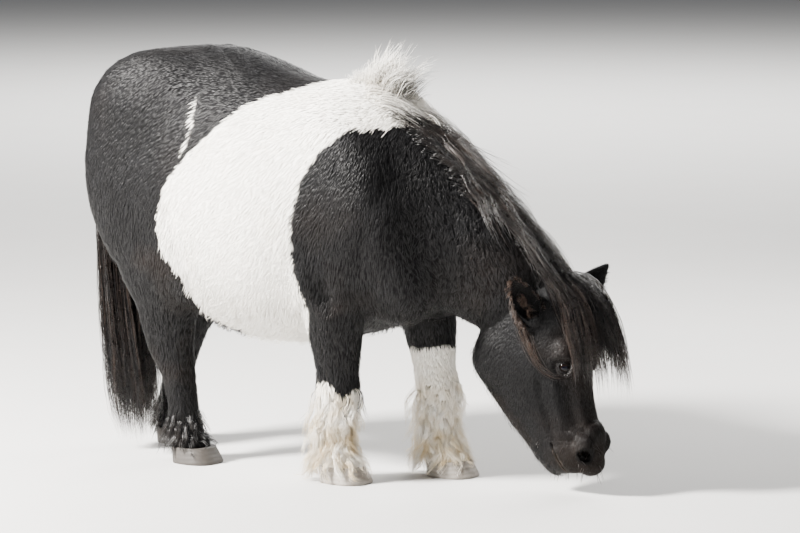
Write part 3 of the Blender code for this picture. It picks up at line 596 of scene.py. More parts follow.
# Ridges and hollows of the face: amount, reach, and points (x, distance from the middle, z). They are the
# cheek's crest and the hollow behind it, the folds over and under the nostril and its wing, the brow and the
# hollow over it, the eye's lower fold and corner, the chin's dip, the nose bone's edge and a muscle
faceForms = [
    (0.0050, 0.0123, [(0.711, 0.066, 0.268), (0.713, 0.060, 0.225), (0.728, 0.054, 0.172)]),
    (-0.0061, 0.0112, [
        (0.678, 0.078, 0.272), (0.678, 0.068, 0.225), (0.697, 0.058, 0.167), (0.708, 0.052, 0.125)]),
    (0.0043, 0.0101, [(0.712, 0.050, 0.146), (0.752, 0.046, 0.152), (0.792, 0.040, 0.138)]),
    (-0.0032, 0.0067, [(0.720, 0.050, 0.131), (0.756, 0.047, 0.134), (0.780, 0.044, 0.129)]),
    (0.0040, 0.0123, [(0.744, 0.050, 0.118), (0.752, 0.047, 0.102)]),
    (-0.0029, 0.0056, [(0.724, 0.046, 0.088), (0.752, 0.044, 0.084)]),
    (0.0032, 0.0112, [(0.708, 0.066, 0.348), (0.738, 0.054, 0.354), (0.758, 0.036, 0.342)]),
    (-0.0043, 0.0123, [(0.698, 0.066, 0.378), (0.728, 0.056, 0.388)]),
    (-0.0032, 0.0101, [(0.694, 0.066, 0.296), (0.712, 0.060, 0.276), (0.742, 0.052, 0.266)]),
    (0.0022, 0.0078, [(0.684, 0.070, 0.330), (0.700, 0.066, 0.318)]),
    (-0.0029, 0.0090, [(0.672, 0.020, 0.092), (0.690, 0.040, 0.098)]),
    (0.0036, 0.0123, [(0.760, 0.030, 0.290), (0.764, 0.028, 0.230), (0.776, 0.026, 0.170)]),
    (-0.0036, 0.0112, [(0.740, 0.052, 0.252), (0.746, 0.046, 0.215), (0.758, 0.042, 0.180)]),
    (-0.0025, 0.0134, [(0.610, 0.085, 0.330), (0.640, 0.085, 0.270), (0.655, 0.080, 0.225)]),
]
# The body's: the spine's groove and wrinkles, creases of buttock and flank, elbow and shoulder
bodyForms = [
    (-0.0048, 0.0240, [(-0.45, 0.0, 1.03), (-0.20, 0.0, 1.05), (-0.02, 0.0, 1.00)]),
    (-0.0042, 0.0132, [(-0.30, 0.035, 1.045), (-0.24, 0.075, 1.02), (-0.20, 0.115, 0.99)]),
    (0.0033, 0.0144, [(-0.27, 0.035, 1.045), (-0.21, 0.075, 1.02), (-0.16, 0.110, 0.99)]),
    (-0.0042, 0.0132, [(-0.24, 0.035, 1.040), (-0.17, 0.070, 1.02), (-0.12, 0.110, 0.985)]),
    (-0.0036, 0.0132, [(-0.18, 0.030, 1.035), (-0.11, 0.065, 1.01), (-0.06, 0.100, 0.98)]),
    (0.0030, 0.0144, [(-0.20, 0.030, 1.040), (-0.14, 0.070, 1.015), (-0.09, 0.105, 0.98)]),
    (-0.0080, 0.0150, [(-0.42, 0.210, 0.800), (-0.445, 0.205, 0.700), (-0.450, 0.190, 0.590)]),
    (0.0060, 0.0170, [(-0.46, 0.190, 0.780), (-0.480, 0.180, 0.690), (-0.480, 0.170, 0.600)]),
    (-0.0100, 0.0230, [(-0.24, 0.250, 0.640), (-0.22, 0.240, 0.540), (-0.20, 0.200, 0.450)]),
    (-0.0240, 0.0280, [(0.190, 0.200, 0.485), (0.200, 0.195, 0.455)]),
    (0.0080, 0.0230, [(0.150, 0.225, 0.520), (0.165, 0.215, 0.450), (0.200, 0.200, 0.405)]),
    (-0.0065, 0.0110, [(0.245, 0.215, 0.830), (0.243, 0.225, 0.740)]),
    (-0.0090, 0.0220, [(0.345, 0.170, 0.740), (0.320, 0.200, 0.640), (0.300, 0.200, 0.540)]),
    (0.0060, 0.0260, [(0.395, 0.130, 0.700), (0.385, 0.150, 0.600), (0.360, 0.150, 0.500)]),
    (-0.0060, 0.0150, [(0.445, 0.110, 0.800), (0.480, 0.115, 0.700), (0.500, 0.110, 0.600)]),
]


def shapeForms(obj):
    points, normals = vertexVectors(obj.data, "co"), vertexVectors(obj.data, "normal")
    place = points.copy()
    place[:, 1] = np.abs(points[:, 1] - midPlane(points))
    lift = np.zeros(len(points))
    for amount, reach, path in faceForms + bodyForms:
        away = np.full(len(points), 9.0)
        for start, end in zip(np.array(path), np.array(path[1:])):
            along = end - start
            t = np.clip((place - start) @ along / (along @ along), 0, 1)
            away = np.minimum(away, np.linalg.norm(place - start - t[:, None] * along, axis=1))
        lift += amount * np.exp(-(away / reach) ** 2)
    obj.data.vertices.foreach_set("co", (points + normals * lift[:, None]).ravel())
    obj.data.update()


def muzzle(made):  # rounds the nostrils and lips
    for side in (1, -1):
        refine(made, nostrilPlace(side), 0.036, 0.0019)
        made.normal_update()
        for vertex in made.verts:  # the rim
            away = (vertex.co - nostrilPlace(side)).length
            if away < 0.036 and vertex.normal.y * side > 0:
                over = float(smoothStep(-0.004, 0.012, (vertex.co - nostrilPlace(side)).z))
                vertex.co += vertex.normal * 0.0020 * over * math.exp(-((away - 0.0240) / 0.0050) ** 2)
        relaxNear(made, nostrilPlace(side), 0.032, 4)
    lips = Vector((0.725, middleOfHead, 0.080))
    refine(made, lips, 0.085, 0.0026)
    relaxNear(made, lips, 0.075, 2)


# A nostril is a comma of overlapping hollows: forward, inward and upward of its place, and their radii
nostrilPlan = [
    (0.002, 0.000, -0.006, (0.018, 0.016, 0.013)), (-0.006, -0.002, 0.005, (0.015, 0.014, 0.012)),
    (-0.016, -0.002, 0.014, (0.010, 0.011, 0.007)), (-0.008, 0.014, 0.012, (0.014, 0.011, 0.018)),
]
mouthLine = {"low": (0.744, 0.028), "corner": (0.696, 0.130), "width": 0.0028}  # side-view points


def thinned(skin):  # fewer triangles where it is smooth and of one colour
    spare = skin.vertex_groups.new(name="spare")  # what may be thinned most
    points = vertexVectors(skin.data, "co")
    inHead = regions(points)["head"] >= 0.5
    edge = np.abs(whiteDepth(points)) < skinPlan["edge"]
    for chosen, weight in ((edge, 0.0), (~edge & inHead, 0.55), (~edge & ~inHead, 1.0)):
        spare.add([int(i) for i in np.nonzero(chosen)[0]], weight, "REPLACE")
    thin = skin.modifiers.new("thin", "DECIMATE")
    thin.ratio = min(1, skinPlan["triangles"] / (2 * len(skin.data.polygons)))
    thin.vertex_group = spare.name
    thin.vertex_group_factor = 1.0
    applied(skin)
    skin.vertex_groups.clear()


def headHoles():  # the sockets, the lids' openings and the nostrils
    holes = []
    for side in (1, -1):
        look, across, up = eyeFrame(side)
        turn = Matrix((look, across, up)).transposed().to_4x4()
        place = Matrix.Translation(eyePlace(side) + look * (eyePlan["radius"] + 0.004)) @ turn
        opening = sphere(place @ Matrix.Diagonal((*eyePlan["open"], 1)), 36, 20)
        holes += [mass(eyePlace(side), (eyePlan["radius"] + eyePlan["gap"],) * 3, segments=40), opening]
        for along, inward, up, radii in nostrilPlan:
            centre = nostrilPlace(side) + Vector((along, -side * inward, up))
            holes.append(mass(centre, radii, segments=24))
    return holes


def mouthSlit():
    (lowX, lowZ), (cornerX, cornerZ) = mouthLine["low"], mouthLine["corner"]
    low, corner = Vector((lowX, middleOfHead, lowZ)), Vector((cornerX, middleOfHead, cornerZ))
    along = corner - low
    way = along.normalized()
    turn = Matrix((Vector((0, 1, 0)).cross(way), (0, 1, 0), way)).transposed().to_4x4()
    size = Matrix.Diagonal((mouthLine["width"], 0.2, along.length, 1))
    slit = bmesh.new()
    bmesh.ops.create_cube(slit, size=1, matrix=Matrix.Translation((low + corner) / 2) @ turn @ size)
    return slit


def makeSkin():
    trunk = fused(joined("trunk", trunkMasses()), skinPlan["coarseVoxel"], 70)
    pieces = [bmeshOf(trunk)] + headMasses()
    bpy.data.objects.remove(trunk)
    pieces += [loft(rows, sides=28) for rows in legPlaces.values()]
    skin = fused(joined("skin", pieces), skinPlan["fineVoxel"], skinPlan["relax"])
    shapeForms(skin)
    underCoat(skin)
    ears = []
    for ear in earPlan.values():
        shell = joined("ear", [earShape(ear, *earOuter)])
        cut(shell, [earShape(ear, *earHollow)])
        ears.append(bmeshOf(shell))
        bpy.data.objects.remove(shell)
    thinned(skin)
    cut(skin, ears, "UNION")
    lid = eyePlan["radius"] + eyePlan["lid"]
    cut(skin, [mass(eyePlace(side), (lid,) * 3, segments=40) for side in (1, -1)], "UNION")
    cut(skin, headHoles())
    cut(skin, [mouthSlit()])
    made = bmeshOf(skin)
    bmesh.ops.triangulate(made, faces=made.faces[:])
    made.normal_update()
    for side in (1, -1):
        eyelids(made, side)
    muzzle(made)
    for ear in earPlan.values():
        relaxNear(made, Vector(ear["base"]).lerp(Vector(ear["tip"]), 0.1), 0.045, 6)
    made.to_mesh(skin.data)
    made.free()
    skin.data.polygons.foreach_set("use_smooth", [True] * len(skin.data.polygons))
    skin.data.update()
    return skin


skin = makeSkin()
print("skin:", len(skin.data.polygons), "triangles")
skinTree = BVHTree.FromPolygons(
    [vertex.co for vertex in skin.data.vertices], [tuple(face.vertices) for face in skin.data.polygons])


def bareShare(points):  # lids, lips and the inside of the nostrils
    share = np.zeros(len(points))
    for side in (1, -1):
        share = np.maximum(share, 1 - smoothStep(1.15, 1.60, lidDistance(points, side)))
        away = np.linalg.norm(points - np.array(nostrilPlace(side)), axis=1)
        share = np.maximum(share, 1 - smoothStep(0.021, 0.029, away))
    return share


def muzzleShare(points):
    away = (points - np.array((0.765, middleOfHead, 0.078))) / np.array((1.0, 1.0, 0.85))
    return 1 - smoothStep(0.055, 0.110, np.linalg.norm(away, axis=1))


def lipShare(points):  # the pale rims of the lips
    low, corner = np.array(mouthLine["low"]), np.array(mouthLine["corner"])
    axis = corner - low
    flat = points[:, [0, 2]] - low
    t = np.clip(flat @ axis / (axis @ axis), 0, 0.8)
    away = np.linalg.norm(flat - t[:, None] * axis, axis=1)
    return np.where(points[:, 0] > 0.66, smoothStep(0.0075, 0.003, away) * (points[:, 2] < 0.125), 0)


def addFloats(mesh, name, values):
    layer = mesh.attributes.new(name, "FLOAT", "POINT")
    layer.data.foreach_set("value", np.asarray(values, dtype=np.float32).ravel())


points = vertexVectors(skin.data, "co")
addFloats(skin.data, "white", smoothStep(-0.004, 0.004, whiteDepth(points)))
for name, share in (("bare", bareShare), ("muzzle", muzzleShare), ("lip", lipShare)):
    addFloats(skin.data, name, share(points))
addFloats(skin.data, "brown", np.zeros(len(points)))


# materials

class Wire:  # a shader socket that takes sums
    def __init__(self, finish, socket):
        self.finish, self.socket = finish, socket

    def math(self, operation, first, second):
        return self.finish.node("ShaderNodeMath", {"operation": operation}, {0: first, 1: second})

    def __add__(self, other):
        return self.math("ADD", self, other)

    def __radd__(self, other):
        return self.math("ADD", other, self)

    def __mul__(self, other):
        return self.math("MULTIPLY", self, other)

    def __rmul__(self, other):
        return self.math("MULTIPLY", other, self)


class Finish:  # a material and the nodes behind it
    def __init__(self, name, constants):
        self.material = bpy.data.materials.new(name)
        self.material.use_nodes = True
        self.tree = self.material.node_tree
        self.shader = self.tree.nodes["Principled BSDF"]
        for socket, value in constants.items():
            self.shader.inputs[socket].default_value = value

    def node(self, kind, settings=None, inputs=None, output=0):
        made = self.tree.nodes.new(kind)
        for name, value in (settings or {}).items():
            setattr(made, name, value)
        for name, value in (inputs or {}).items():
            if isinstance(value, Wire):
                self.tree.links.new(value.socket, made.inputs[name])
            else:
                made.inputs[name].default_value = value
        return Wire(self, made.outputs[output])

    def value(self, name):  # a point attribute
        return self.node("ShaderNodeAttribute", {"attribute_name": name}, output="Fac")

    def place(self):
        return self.node("ShaderNodeTexCoord", output="Object")

    def level(self, axis):  # the place along one axis
        return self.node("ShaderNodeSeparateXYZ", None, {0: self.place()}, axis)

    def noise(self, scale, detail=2.0, rough=0.5):
        inputs = {"Vector": self.place(), "Scale": scale, "Detail": detail, "Roughness": rough}
        return self.node("ShaderNodeTexNoise", {"noise_dimensions": "3D"}, inputs, "Fac")

    def range(self, value, low, high, newLow=0.0, newHigh=1.0):
        inputs = {"Value": value, "From Min": low, "From Max": high, "To Min": newLow, "To Max": newHigh}
        return self.node("ShaderNodeMapRange", {"clamp": True}, inputs)

    def mix(self, share, first, second):
        inputs = {0: share, 6: first if isinstance(first, Wire) else (*first, 1)}
        inputs[7] = second if isinstance(second, Wire) else (*second, 1)
        return self.node("ShaderNodeMix", {"data_type": "RGBA", "blend_type": "MIX"}, inputs, 2)

    def feed(self, socket, value):
        self.tree.links.new(value.socket, self.shader.inputs[socket])

    def bump(self, height, strength, distance):
        inputs = {"Strength": strength, "Distance": distance, "Height": height}
        self.feed("Normal", self.node("ShaderNodeBump", None, inputs))


coatColours = {
    # the roots of black and white are painted darker than the tips, as shade down among the hairs
    "blackRootShade": (0.0022, 0.0021, 0.0023), "blackTip": (0.0052, 0.0050, 0.0054),
    "greyAndSheen": (0.0150, 0.0152, 0.0168), "greyAndGlint": (0.060, 0.053, 0.050),  # the palest tips of coat and long hair: partly their own grey, partly painted sheen and glints
    "brown": (0.017, 0.0105, 0.0072), "fringe": (0.070, 0.043, 0.030),  # faded coat, and long hair's ends
    "whiteRootShade": (0.80, 0.75, 0.66), "whiteTip": (0.96, 0.94, 0.89), "yellowCream": (0.62, 0.49, 0.29),
    "muzzle": (0.0095, 0.0072, 0.0060), "bare": (0.0022, 0.0019, 0.0019), "lip": (0.070, 0.057, 0.046),
}


def coatColour(finish, along, tone, greyAndSheen="greyAndSheen"):  # coat or skin from its markings and its place, with painted shade towards the roots and painted sheen at some tips
    patches = finish.noise(5.0, 3.0)
    # painted shade: the black darker towards each tuft's root
    black = finish.mix(along, coatColours["blackRootShade"], coatColours["blackTip"])
    height = finish.level("Z")
    brown = finish.range(patches, 0.50, 0.74) * finish.range(height, 0.75, 0.40, 0.12, 0.7)
    brown = brown * finish.range(tone, 0.0, 1.0, 0.4, 1.0)
    black = finish.mix(brown, black, coatColours["brown"])
    # painted sheen: the tips of some tufts are made paler, partly the hair's own grey
    black = finish.mix(finish.range(tone, 0.55, 1.0) * along * 0.8, black, coatColours[greyAndSheen])
    faded = finish.value("brown") * finish.range(tone, 0.1, 0.7, 0.35, 1.0)
    black = finish.mix(faded, black, coatColours["fringe"])
    # painted shade: the white darker towards each tuft's root
    cream = finish.mix(along, coatColours["whiteRootShade"], coatColours["whiteTip"])
    # the white turns yellower towards the feet and in loose patches
    low = finish.range(height, 0.32, 0.10, 0.0, 1.0) * finish.range(finish.noise(22.0, 3.0), 0.34, 0.62)
    yellowCream = low + finish.range(finish.noise(7.0, 4.0), 0.58, 0.80) * 0.30
    cream = finish.mix(yellowCream, cream, coatColours["yellowCream"])
    cream = finish.mix(finish.range(tone, 0.0, 0.35, 0.35, 0.0), cream, coatColours["whiteRootShade"])
    return finish.mix(finish.value("white"), black, cream)


def coatFinish(name, specular, rough, greyAndSheen):
    finish = Finish(name, {"Specular IOR Level": specular, "Sheen Weight": 0.0})
    colour = coatColour(finish, finish.value("along"), finish.value("tone"), greyAndSheen)
    colour = finish.mix(finish.value("muzzle") * 0.7, colour, coatColours["muzzle"])
    finish.feed("Base Color", colour)
    finish.feed("Roughness", finish.range(finish.noise(60.0), 0.3, 0.7, *rough))
    return finish.material


def skinFinish():
    finish = Finish("ponySkin", {"Specular IOR Level": 0.07, "Sheen Weight": 0.0})
    fine = finish.noise(420.0, 3.0, 0.6)
    tone = finish.range(finish.noise(160.0), 0.3, 0.7, 0.4, 0.9)
    colour = coatColour(finish, finish.range(fine, 0.35, 0.65, 0.3, 1.0), tone)
    colour = finish.mix(finish.value("muzzle"), colour, coatColours["muzzle"])
    bare = finish.value("bare")
    colour = finish.mix(bare, colour, coatColours["bare"])
    pale = finish.value("lip") * finish.range(fine, 0.2, 0.6, 0.15, 0.7)
    colour = finish.mix(pale, colour, coatColours["lip"])
    finish.feed("Base Color", colour)
    finish.feed("Roughness", finish.range(bare, 0.0, 1.0, 0.75, 0.66))
    wrinkles = finish.noise(150.0, 4.0, 0.6)
    finish.bump(fine * 0.6 + wrinkles * 0.4, 0.6, 0.0012)
    return finish.material


# the pale tips mixed in are painted sheen on the coat and painted glints on long hair, partly grey hair
coatMaterial = coatFinish("ponyCoat", 0.17, (0.38, 0.54), "greyAndSheen")
hairMaterial = coatFinish("ponyHair", 0.42, (0.24, 0.36), "greyAndGlint")
skin.data.materials.clear()
skin.data.materials.append(skinFinish())


# an unwrap of the skin's own shape, for the coat's patches

def flatPlan():
    coarse = skin.copy()
    coarse.data = skin.data.copy()
    bpy.context.scene.collection.objects.link(coarse)
    thin = coarse.modifiers.new("thin", "DECIMATE")
    thin.ratio = 3000 / len(coarse.data.polygons)
    applied(coarse)
    bpy.context.view_layer.objects.active = coarse
    for obj in bpy.context.selected_objects:
        obj.select_set(False)
    coarse.select_set(True)
    bpy.ops.object.mode_set(mode="EDIT")
    bpy.ops.mesh.select_all(action="SELECT")
    bpy.ops.uv.smart_project(angle_limit=1.15, island_margin=0.004)
    bpy.ops.object.mode_set(mode="OBJECT")
    mesh = coarse.data
    corners = [vertex.co.copy() for vertex in mesh.vertices]
    faces = [tuple(face.vertices) for face in mesh.polygons]
    layer = mesh.uv_layers.active.data
    flat = [[layer[i].uv.to_3d() for i in face.loop_indices] for face in mesh.polygons]
    tree = BVHTree.FromPolygons(corners, faces)
    bpy.data.objects.remove(coarse)

    def find(points):
        found = np.empty((len(points), 2))
        for i, point in enumerate(points):
            near, _, face, _ = tree.find_nearest(Vector(point))
            a, b, c = (corners[k] for k in faces[face][:3])
            place = barycentric_transform(near, a, b, c, *flat[face][:3])
            found[i] = place[0], place[1]
        return np.clip(found, 0.002, 0.998)

    return find


rootPlan = flatPlan()
print("unwrap ready")


# hair

def unit(vectors):
    return vectors / np.maximum(np.linalg.norm(vectors, axis=-1, keepdims=True), 1e-9)


def settle(points, clear, reach=0.10):  # lifts points too near the skin or under it, and gives its normals
    flatPoints = points.reshape(-1, 3)
    clears = np.broadcast_to(clear, points.shape[:-1]).ravel()
    normals = np.zeros_like(flatPoints)
    for i, point in enumerate(flatPoints):
        near, outward, _, away = skinTree.find_nearest(Vector(point))
        normals[i] = outward
        if away < reach:
            height = (Vector(point) - near).dot(outward)
            if height < clears[i]:
                flatPoints[i] = near + outward * clears[i]
    return flatPoints.reshape(points.shape), normals.reshape(points.shape)


def hairMesh(name, points, halfWidths, outward, tone, white, material, thick, muzzle=0, brown=0, soft=0.0):
    count, steps, _ = points.shape
    rings = steps - 1
    along = unit(np.gradient(points, axis=1))
    side = unit(np.cross(along, outward if outward.ndim == 3 else outward[:, None, :]))
    out = np.cross(side, along)
    half = halfWidths[:, :rings, None]
    side, out, centre = side[:, :rings] * half, out[:, :rings] * half * thick, points[:, :rings]
    corners = np.stack([centre + side - out * 0.3, centre + out, centre - side - out * 0.3], axis=2)
    if steps == 3:  # a leaf, with a point at both ends and one ring in the middle
        vertices = np.concatenate([points[:, :1], corners[:, 1], points[:, -1:]], axis=1)
        alongOne, acrossOne = np.array([0, 0.5, 0.5, 0.5, 1]), np.array([0, 0.5, 0, -0.5, 0])
        faces = [[0, 1 + j, 1 + (j + 1) % 3] for j in range(3)]
        faces += [[1 + j, 4, 1 + (j + 1) % 3] for j in range(3)]
    else:
        vertices = np.concatenate([corners.reshape(count, rings * 3, 3), points[:, -1:]], axis=1)
        t = np.linspace(0, 1, steps)
        alongOne = np.concatenate([np.repeat(t[:rings], 3), [1.0]])
        acrossOne = np.concatenate([np.tile([0.5, 0.0, -0.5], rings), [0.0]])
        faces = [[0, 1, 2]]
        for ring in range(rings - 1):
            for j in range(3):
                a, b = 3 * ring + j, 3 * ring + (j + 1) % 3
                faces.append([a, a + 3, b + 3, b])
        last = 3 * (rings - 1)
        faces += [[last + j, last + 3, last + (j + 1) % 3] for j in range(3)]
    perStrand = vertices.shape[1]
    loops = np.array([corner for face in faces for corner in face])
    sizes = np.array([len(face) for face in faces])
    starts = np.concatenate([[0], np.cumsum(sizes)[:-1]])
    allLoops = (loops[None, :] + perStrand * np.arange(count)[:, None]).ravel()
    allStarts = (starts[None, :] + len(loops) * np.arange(count)[:, None]).ravel()
    mesh = bpy.data.meshes.new(name)
    mesh.vertices.add(count * perStrand)
    mesh.vertices.foreach_set("co", vertices.ravel().astype(np.float32))
    mesh.loops.add(len(allLoops))
    mesh.loops.foreach_set("vertex_index", allLoops.astype(np.int32))
    mesh.polygons.add(len(allStarts))
    mesh.polygons.foreach_set("loop_start", allStarts.astype(np.int32))
    mesh.polygons.foreach_set("use_smooth", np.ones(len(allStarts), bool))
    mesh.update(calc_edges=True)
    if soft:  # shaded partly as the skin under it, as fine short fur is
        own = vertexVectors(mesh, "normal")
        turned = unit(own * (1 - soft) + np.repeat(outward, perStrand, axis=0) * soft)
        mesh.normals_split_custom_set_from_vertices(turned)
    rootUv = rootPlan(points[:, 0])
    uv = rootUv[:, None, :] + 0.003 * np.stack([acrossOne, alongOne - 0.5], axis=1)[None]
    layer = mesh.uv_layers.new(name="OFBake")
    layer.data.foreach_set("uv", uv.reshape(-1, 2)[allLoops].ravel().astype(np.float32))
    addFloats(mesh, "along", np.tile(alongOne, count))
    for label, values in (("tone", tone), ("white", white), ("muzzle", muzzle), ("brown", brown)):
        values = np.broadcast_to(values, count)[:, None] * np.ones(perStrand)
        if label == "brown":  # strongest at the tips
            values = values * (0.35 + 0.65 * smoothStep(0.1, 0.8, alongOne))
        addFloats(mesh, label, values)
    mesh.materials.append(material)
    return added(name, mesh)


# Combing: (x, y from the middle, z, reach, and the way that the coat lies there)
combing = [
    (-0.59, 0.05, 0.78, 0.07, -0.20, 0.25, -1.00), (-0.40, 0.06, 1.03, 0.10, -1.00, 0.25, -0.10),
    (-0.10, 0.03, 1.01, 0.10, -1.00, 0.20, 0.00), (0.12, 0.04, 0.96, 0.08, -1.00, 0.30, -0.10),
    (0.27, 0.08, 0.91, 0.07, -0.70, 0.30, -0.60), (-0.40, 0.20, 0.86, 0.10, -0.55, 0.10, -0.85),
    (-0.50, 0.18, 0.68, 0.09, -0.25, 0.00, -1.00), (-0.38, 0.22, 0.57, 0.09, -0.10, 0.00, -1.00),
    (-0.25, 0.24, 0.76, 0.09, -0.70, 0.00, -0.75), (-0.05, 0.25, 0.83, 0.10, -0.80, 0.05, -0.60),
    (-0.05, 0.28, 0.63, 0.10, -0.70, 0.00, -0.70), (-0.03, 0.20, 0.42, 0.08, -0.70, -0.15, -0.65),
    (-0.05, 0.04, 0.33, 0.08, -1.00, 0.00, -0.05), (-0.21, 0.20, 0.50, 0.07, -0.45, 0.00, -0.90),
    (0.14, 0.24, 0.76, 0.09, -0.60, 0.00, -0.85), (0.29, 0.20, 0.72, 0.08, -0.30, 0.00, -1.00),
    (0.22, 0.20, 0.50, 0.08, -0.15, 0.00, -1.00), (0.40, 0.08, 0.48, 0.07, -0.05, 0.10, -1.00),
    (0.34, 0.13, 0.80, 0.07, -0.15, 0.20, -1.00), (0.50, 0.12, 0.62, 0.08, 0.05, 0.10, -1.00),
    (0.42, 0.12, 0.52, 0.07, 0.05, 0.00, -1.00), (0.58, 0.09, 0.52, 0.07, 0.10, 0.05, -1.00),
    (0.46, 0.03, 0.42, 0.05, 0.00, 0.00, -1.00), (0.74, 0.02, 0.47, 0.05, 0.20, 0.15, -1.00),
    (0.76, 0.02, 0.38, 0.05, 0.05, 0.25, -1.00), (0.77, 0.02, 0.28, 0.05, 0.03, 0.05, -1.00),
    (0.78, 0.02, 0.19, 0.05, 0.12, 0.05, -1.00), (0.81, 0.02, 0.10, 0.04, 0.10, 0.20, -1.00),
    (0.71, 0.07, 0.37, 0.04, -0.50, 0.10, -0.85), (0.66, 0.09, 0.45, 0.05, -0.55, 0.00, -0.85),
    (0.62, 0.09, 0.36, 0.05, -0.40, 0.00, -0.90), (0.54, 0.07, 0.32, 0.05, -0.25, 0.00, -1.00),
    (0.70, 0.08, 0.25, 0.04, -0.20, 0.00, -1.00), (0.62, 0.05, 0.20, 0.04, -0.10, 0.00, -1.00),
    (0.69, 0.05, 0.14, 0.04, 0.10, 0.00, -1.00), (0.67, 0.02, 0.06, 0.04, -0.20, 0.10, -1.00),
    (0.17, 0.11, 0.25, 0.12, -0.08, 0.00, -1.00), (0.33, 0.11, 0.25, 0.12, -0.08, 0.00, -1.00),
    (-0.33, 0.11, 0.25, 0.12, -0.10, 0.00, -1.00), (-0.50, 0.11, 0.25, 0.12, -0.10, 0.00, -1.00),
]

coatPlan = {
    "seed": 3,
    "tufts": 160000,
    "thick": 0.4,  # a tuft's depth as a share of its half width
    "soft": 0.6,  # how far its shading follows the skin's
    "lowest": 0.046,  # above the hooves' walls
    "offLids": 1.12,  # in widths of the lids' opening
    "offNostril": 0.023,
    "neighbours": 11,  # tufts in a clump
    "wisps": 0.06,  # share of the tufts that stand out more
    "fuzz": {"all": 0.0022, "withers": 0.0080},  # how far the colours mix across a marking's edge
    "pieceLimit": 190000,  # triangles
    "kinds": {  # density, length, width, rise of the tips, and how far neighbours clump
        "trunk": (1.0, 0.0250, 0.0021, 0.0017, 0.10), "head": (2.6, 0.0110, 0.0015, 0.0017, 0.06),
        "neck": (1.5, 0.0190, 0.0021, 0.0042, 0.45), "legs": (1.3, 0.0220, 0.0020, 0.0032, 0.26),
        "ears": (2.4, 0.0110, 0.0012, 0.0020, 0.20), "shag": (1.5, 0.0340, 0.0018, 0.0110, 0.45),
        "beard": (2.4, 0.0270, 0.0014, 0.0090, 0.35),
    },
}


def coatShares(points, outward):  # the regions, with the long coat of belly, withers and jaw apart
    share = regions(points)
    x, z = points[:, 0], points[:, 2]
    under = smoothStep(-0.35, -0.8, outward[:, 2])
    withers = np.exp(-(((x - 0.26) / 0.10) ** 2 + ((z - 0.93) / 0.06) ** 2))
    smooth = share["neck"] * smoothStep(0.44, 0.32, x)
    share["neck"], share["trunk"] = share["neck"] - smooth, share["trunk"] + smooth
    share["shag"] = share["trunk"] * np.clip(under + 0.8 * withers, 0, 1)
    share["trunk"] = share["trunk"] - share["shag"]
    edge = np.interp(z, [0.05, 0.12, 0.20, 0.30], [0.680, 0.605, 0.535, 0.465])
    throat = np.exp(-(((x - 0.50) / 0.06) ** 2 + ((z - 0.37) / 0.07) ** 2))
    share["beard"] = share["head"] * np.clip(smoothStep(0.050, 0.0, x - edge) + throat, 0, 1)
    share["head"] = share["head"] - share["beard"]
    return share


def lie(points):  # the way that the coat lies, before it is laid on the skin
    table = np.array(combing)
    relative = points.copy()
    relative[:, 1] -= midPlane(points)
    side = np.where(relative[:, 1] < 0, -1.0, 1.0)
    relative[:, 1] = np.abs(relative[:, 1])
    found = np.empty_like(points)
    for start in range(0, len(points), 20000):
        part = relative[start:start + 20000]
        squares = ((part[:, None, :] - table[None, :, :3]) ** 2).sum(2)
        weights = np.exp(-squares / (2 * table[:, 3] ** 2)) + 1e-12
        found[start:start + 20000] = weights @ table[:, 4:] / weights.sum(1, keepdims=True)
    found[:, 1] *= side
    return found


def rootsOn(count, draw):  # roots all over the skin
    mesh = skin.data
    corners = np.empty(len(mesh.polygons) * 3, dtype=np.int32)
    mesh.polygons.foreach_get("vertices", corners)
    corners = corners.reshape(-1, 3)
    places, normals = vertexVectors(mesh, "co"), vertexVectors(mesh, "normal")
    a, b, c = (places[corners[:, k]] for k in range(3))
    areas = np.linalg.norm(np.cross(b - a, c - a), axis=1) / 2
    share = coatShares((a + b + c) / 3, unit(normals[corners].sum(1)))
    areas *= sum(share[kind] * values[0] for kind, values in coatPlan["kinds"].items())
    edges = np.cumsum(areas)
    picks = np.searchsorted(edges, (np.arange(count) + draw.uniform(0, 1, count)) / count * edges[-1])
    picks = np.clip(picks, 0, len(areas) - 1)
    u, v = draw.uniform(0, 1, count), draw.uniform(0, 1, count)
    over = u + v > 1
    u[over], v[over] = 1 - u[over], 1 - v[over]
    weights = np.stack([1 - u - v, u, v], axis=1)
    roots = (places[corners[picks]] * weights[:, :, None]).sum(1)
    outward = unit((normals[corners[picks]] * weights[:, :, None]).sum(1))
    return roots, outward


def coatFlow(roots, outward, share, draw):  # the way that each tuft lies
    flow = unit(lie(roots))
    for ear in earPlan.values():
        base, tip = np.array(ear["base"]), np.array(ear["tip"])
        near = np.linalg.norm(roots - (base + tip) / 2, axis=1) < 0.10
        onEar = (near * share["ears"])[:, None]
        flow = flow * (1 - onEar) + unit(tip - base) * onEar
    shaggy = share["neck"] + share["shag"]
    wavy = (0.06 + 0.36 * shaggy + 0.20 * share["legs"])[:, None]
    flow = flow + wavy * (0.8 * ripple(roots, 5, 22) + 0.7 * ripple(roots, 6, 75))
    flow += (0.45 * share["neck"] + 0.25 * share["legs"])[:, None] * ripple(roots, 7, 170)
    flow += (0.07 + 0.05 * shaggy)[:, None] * draw.normal(size=roots.shape)
    for side in (1, -1):  # away from the lids
        away = roots - np.array(eyePlace(side))
        near = smoothStep(0.040, 0.025, np.linalg.norm(away, axis=1))[:, None]
        flow = flow * (1 - near) + unit(away) * near
    return unit(flow - outward * (flow * outward).sum(1, keepdims=True))


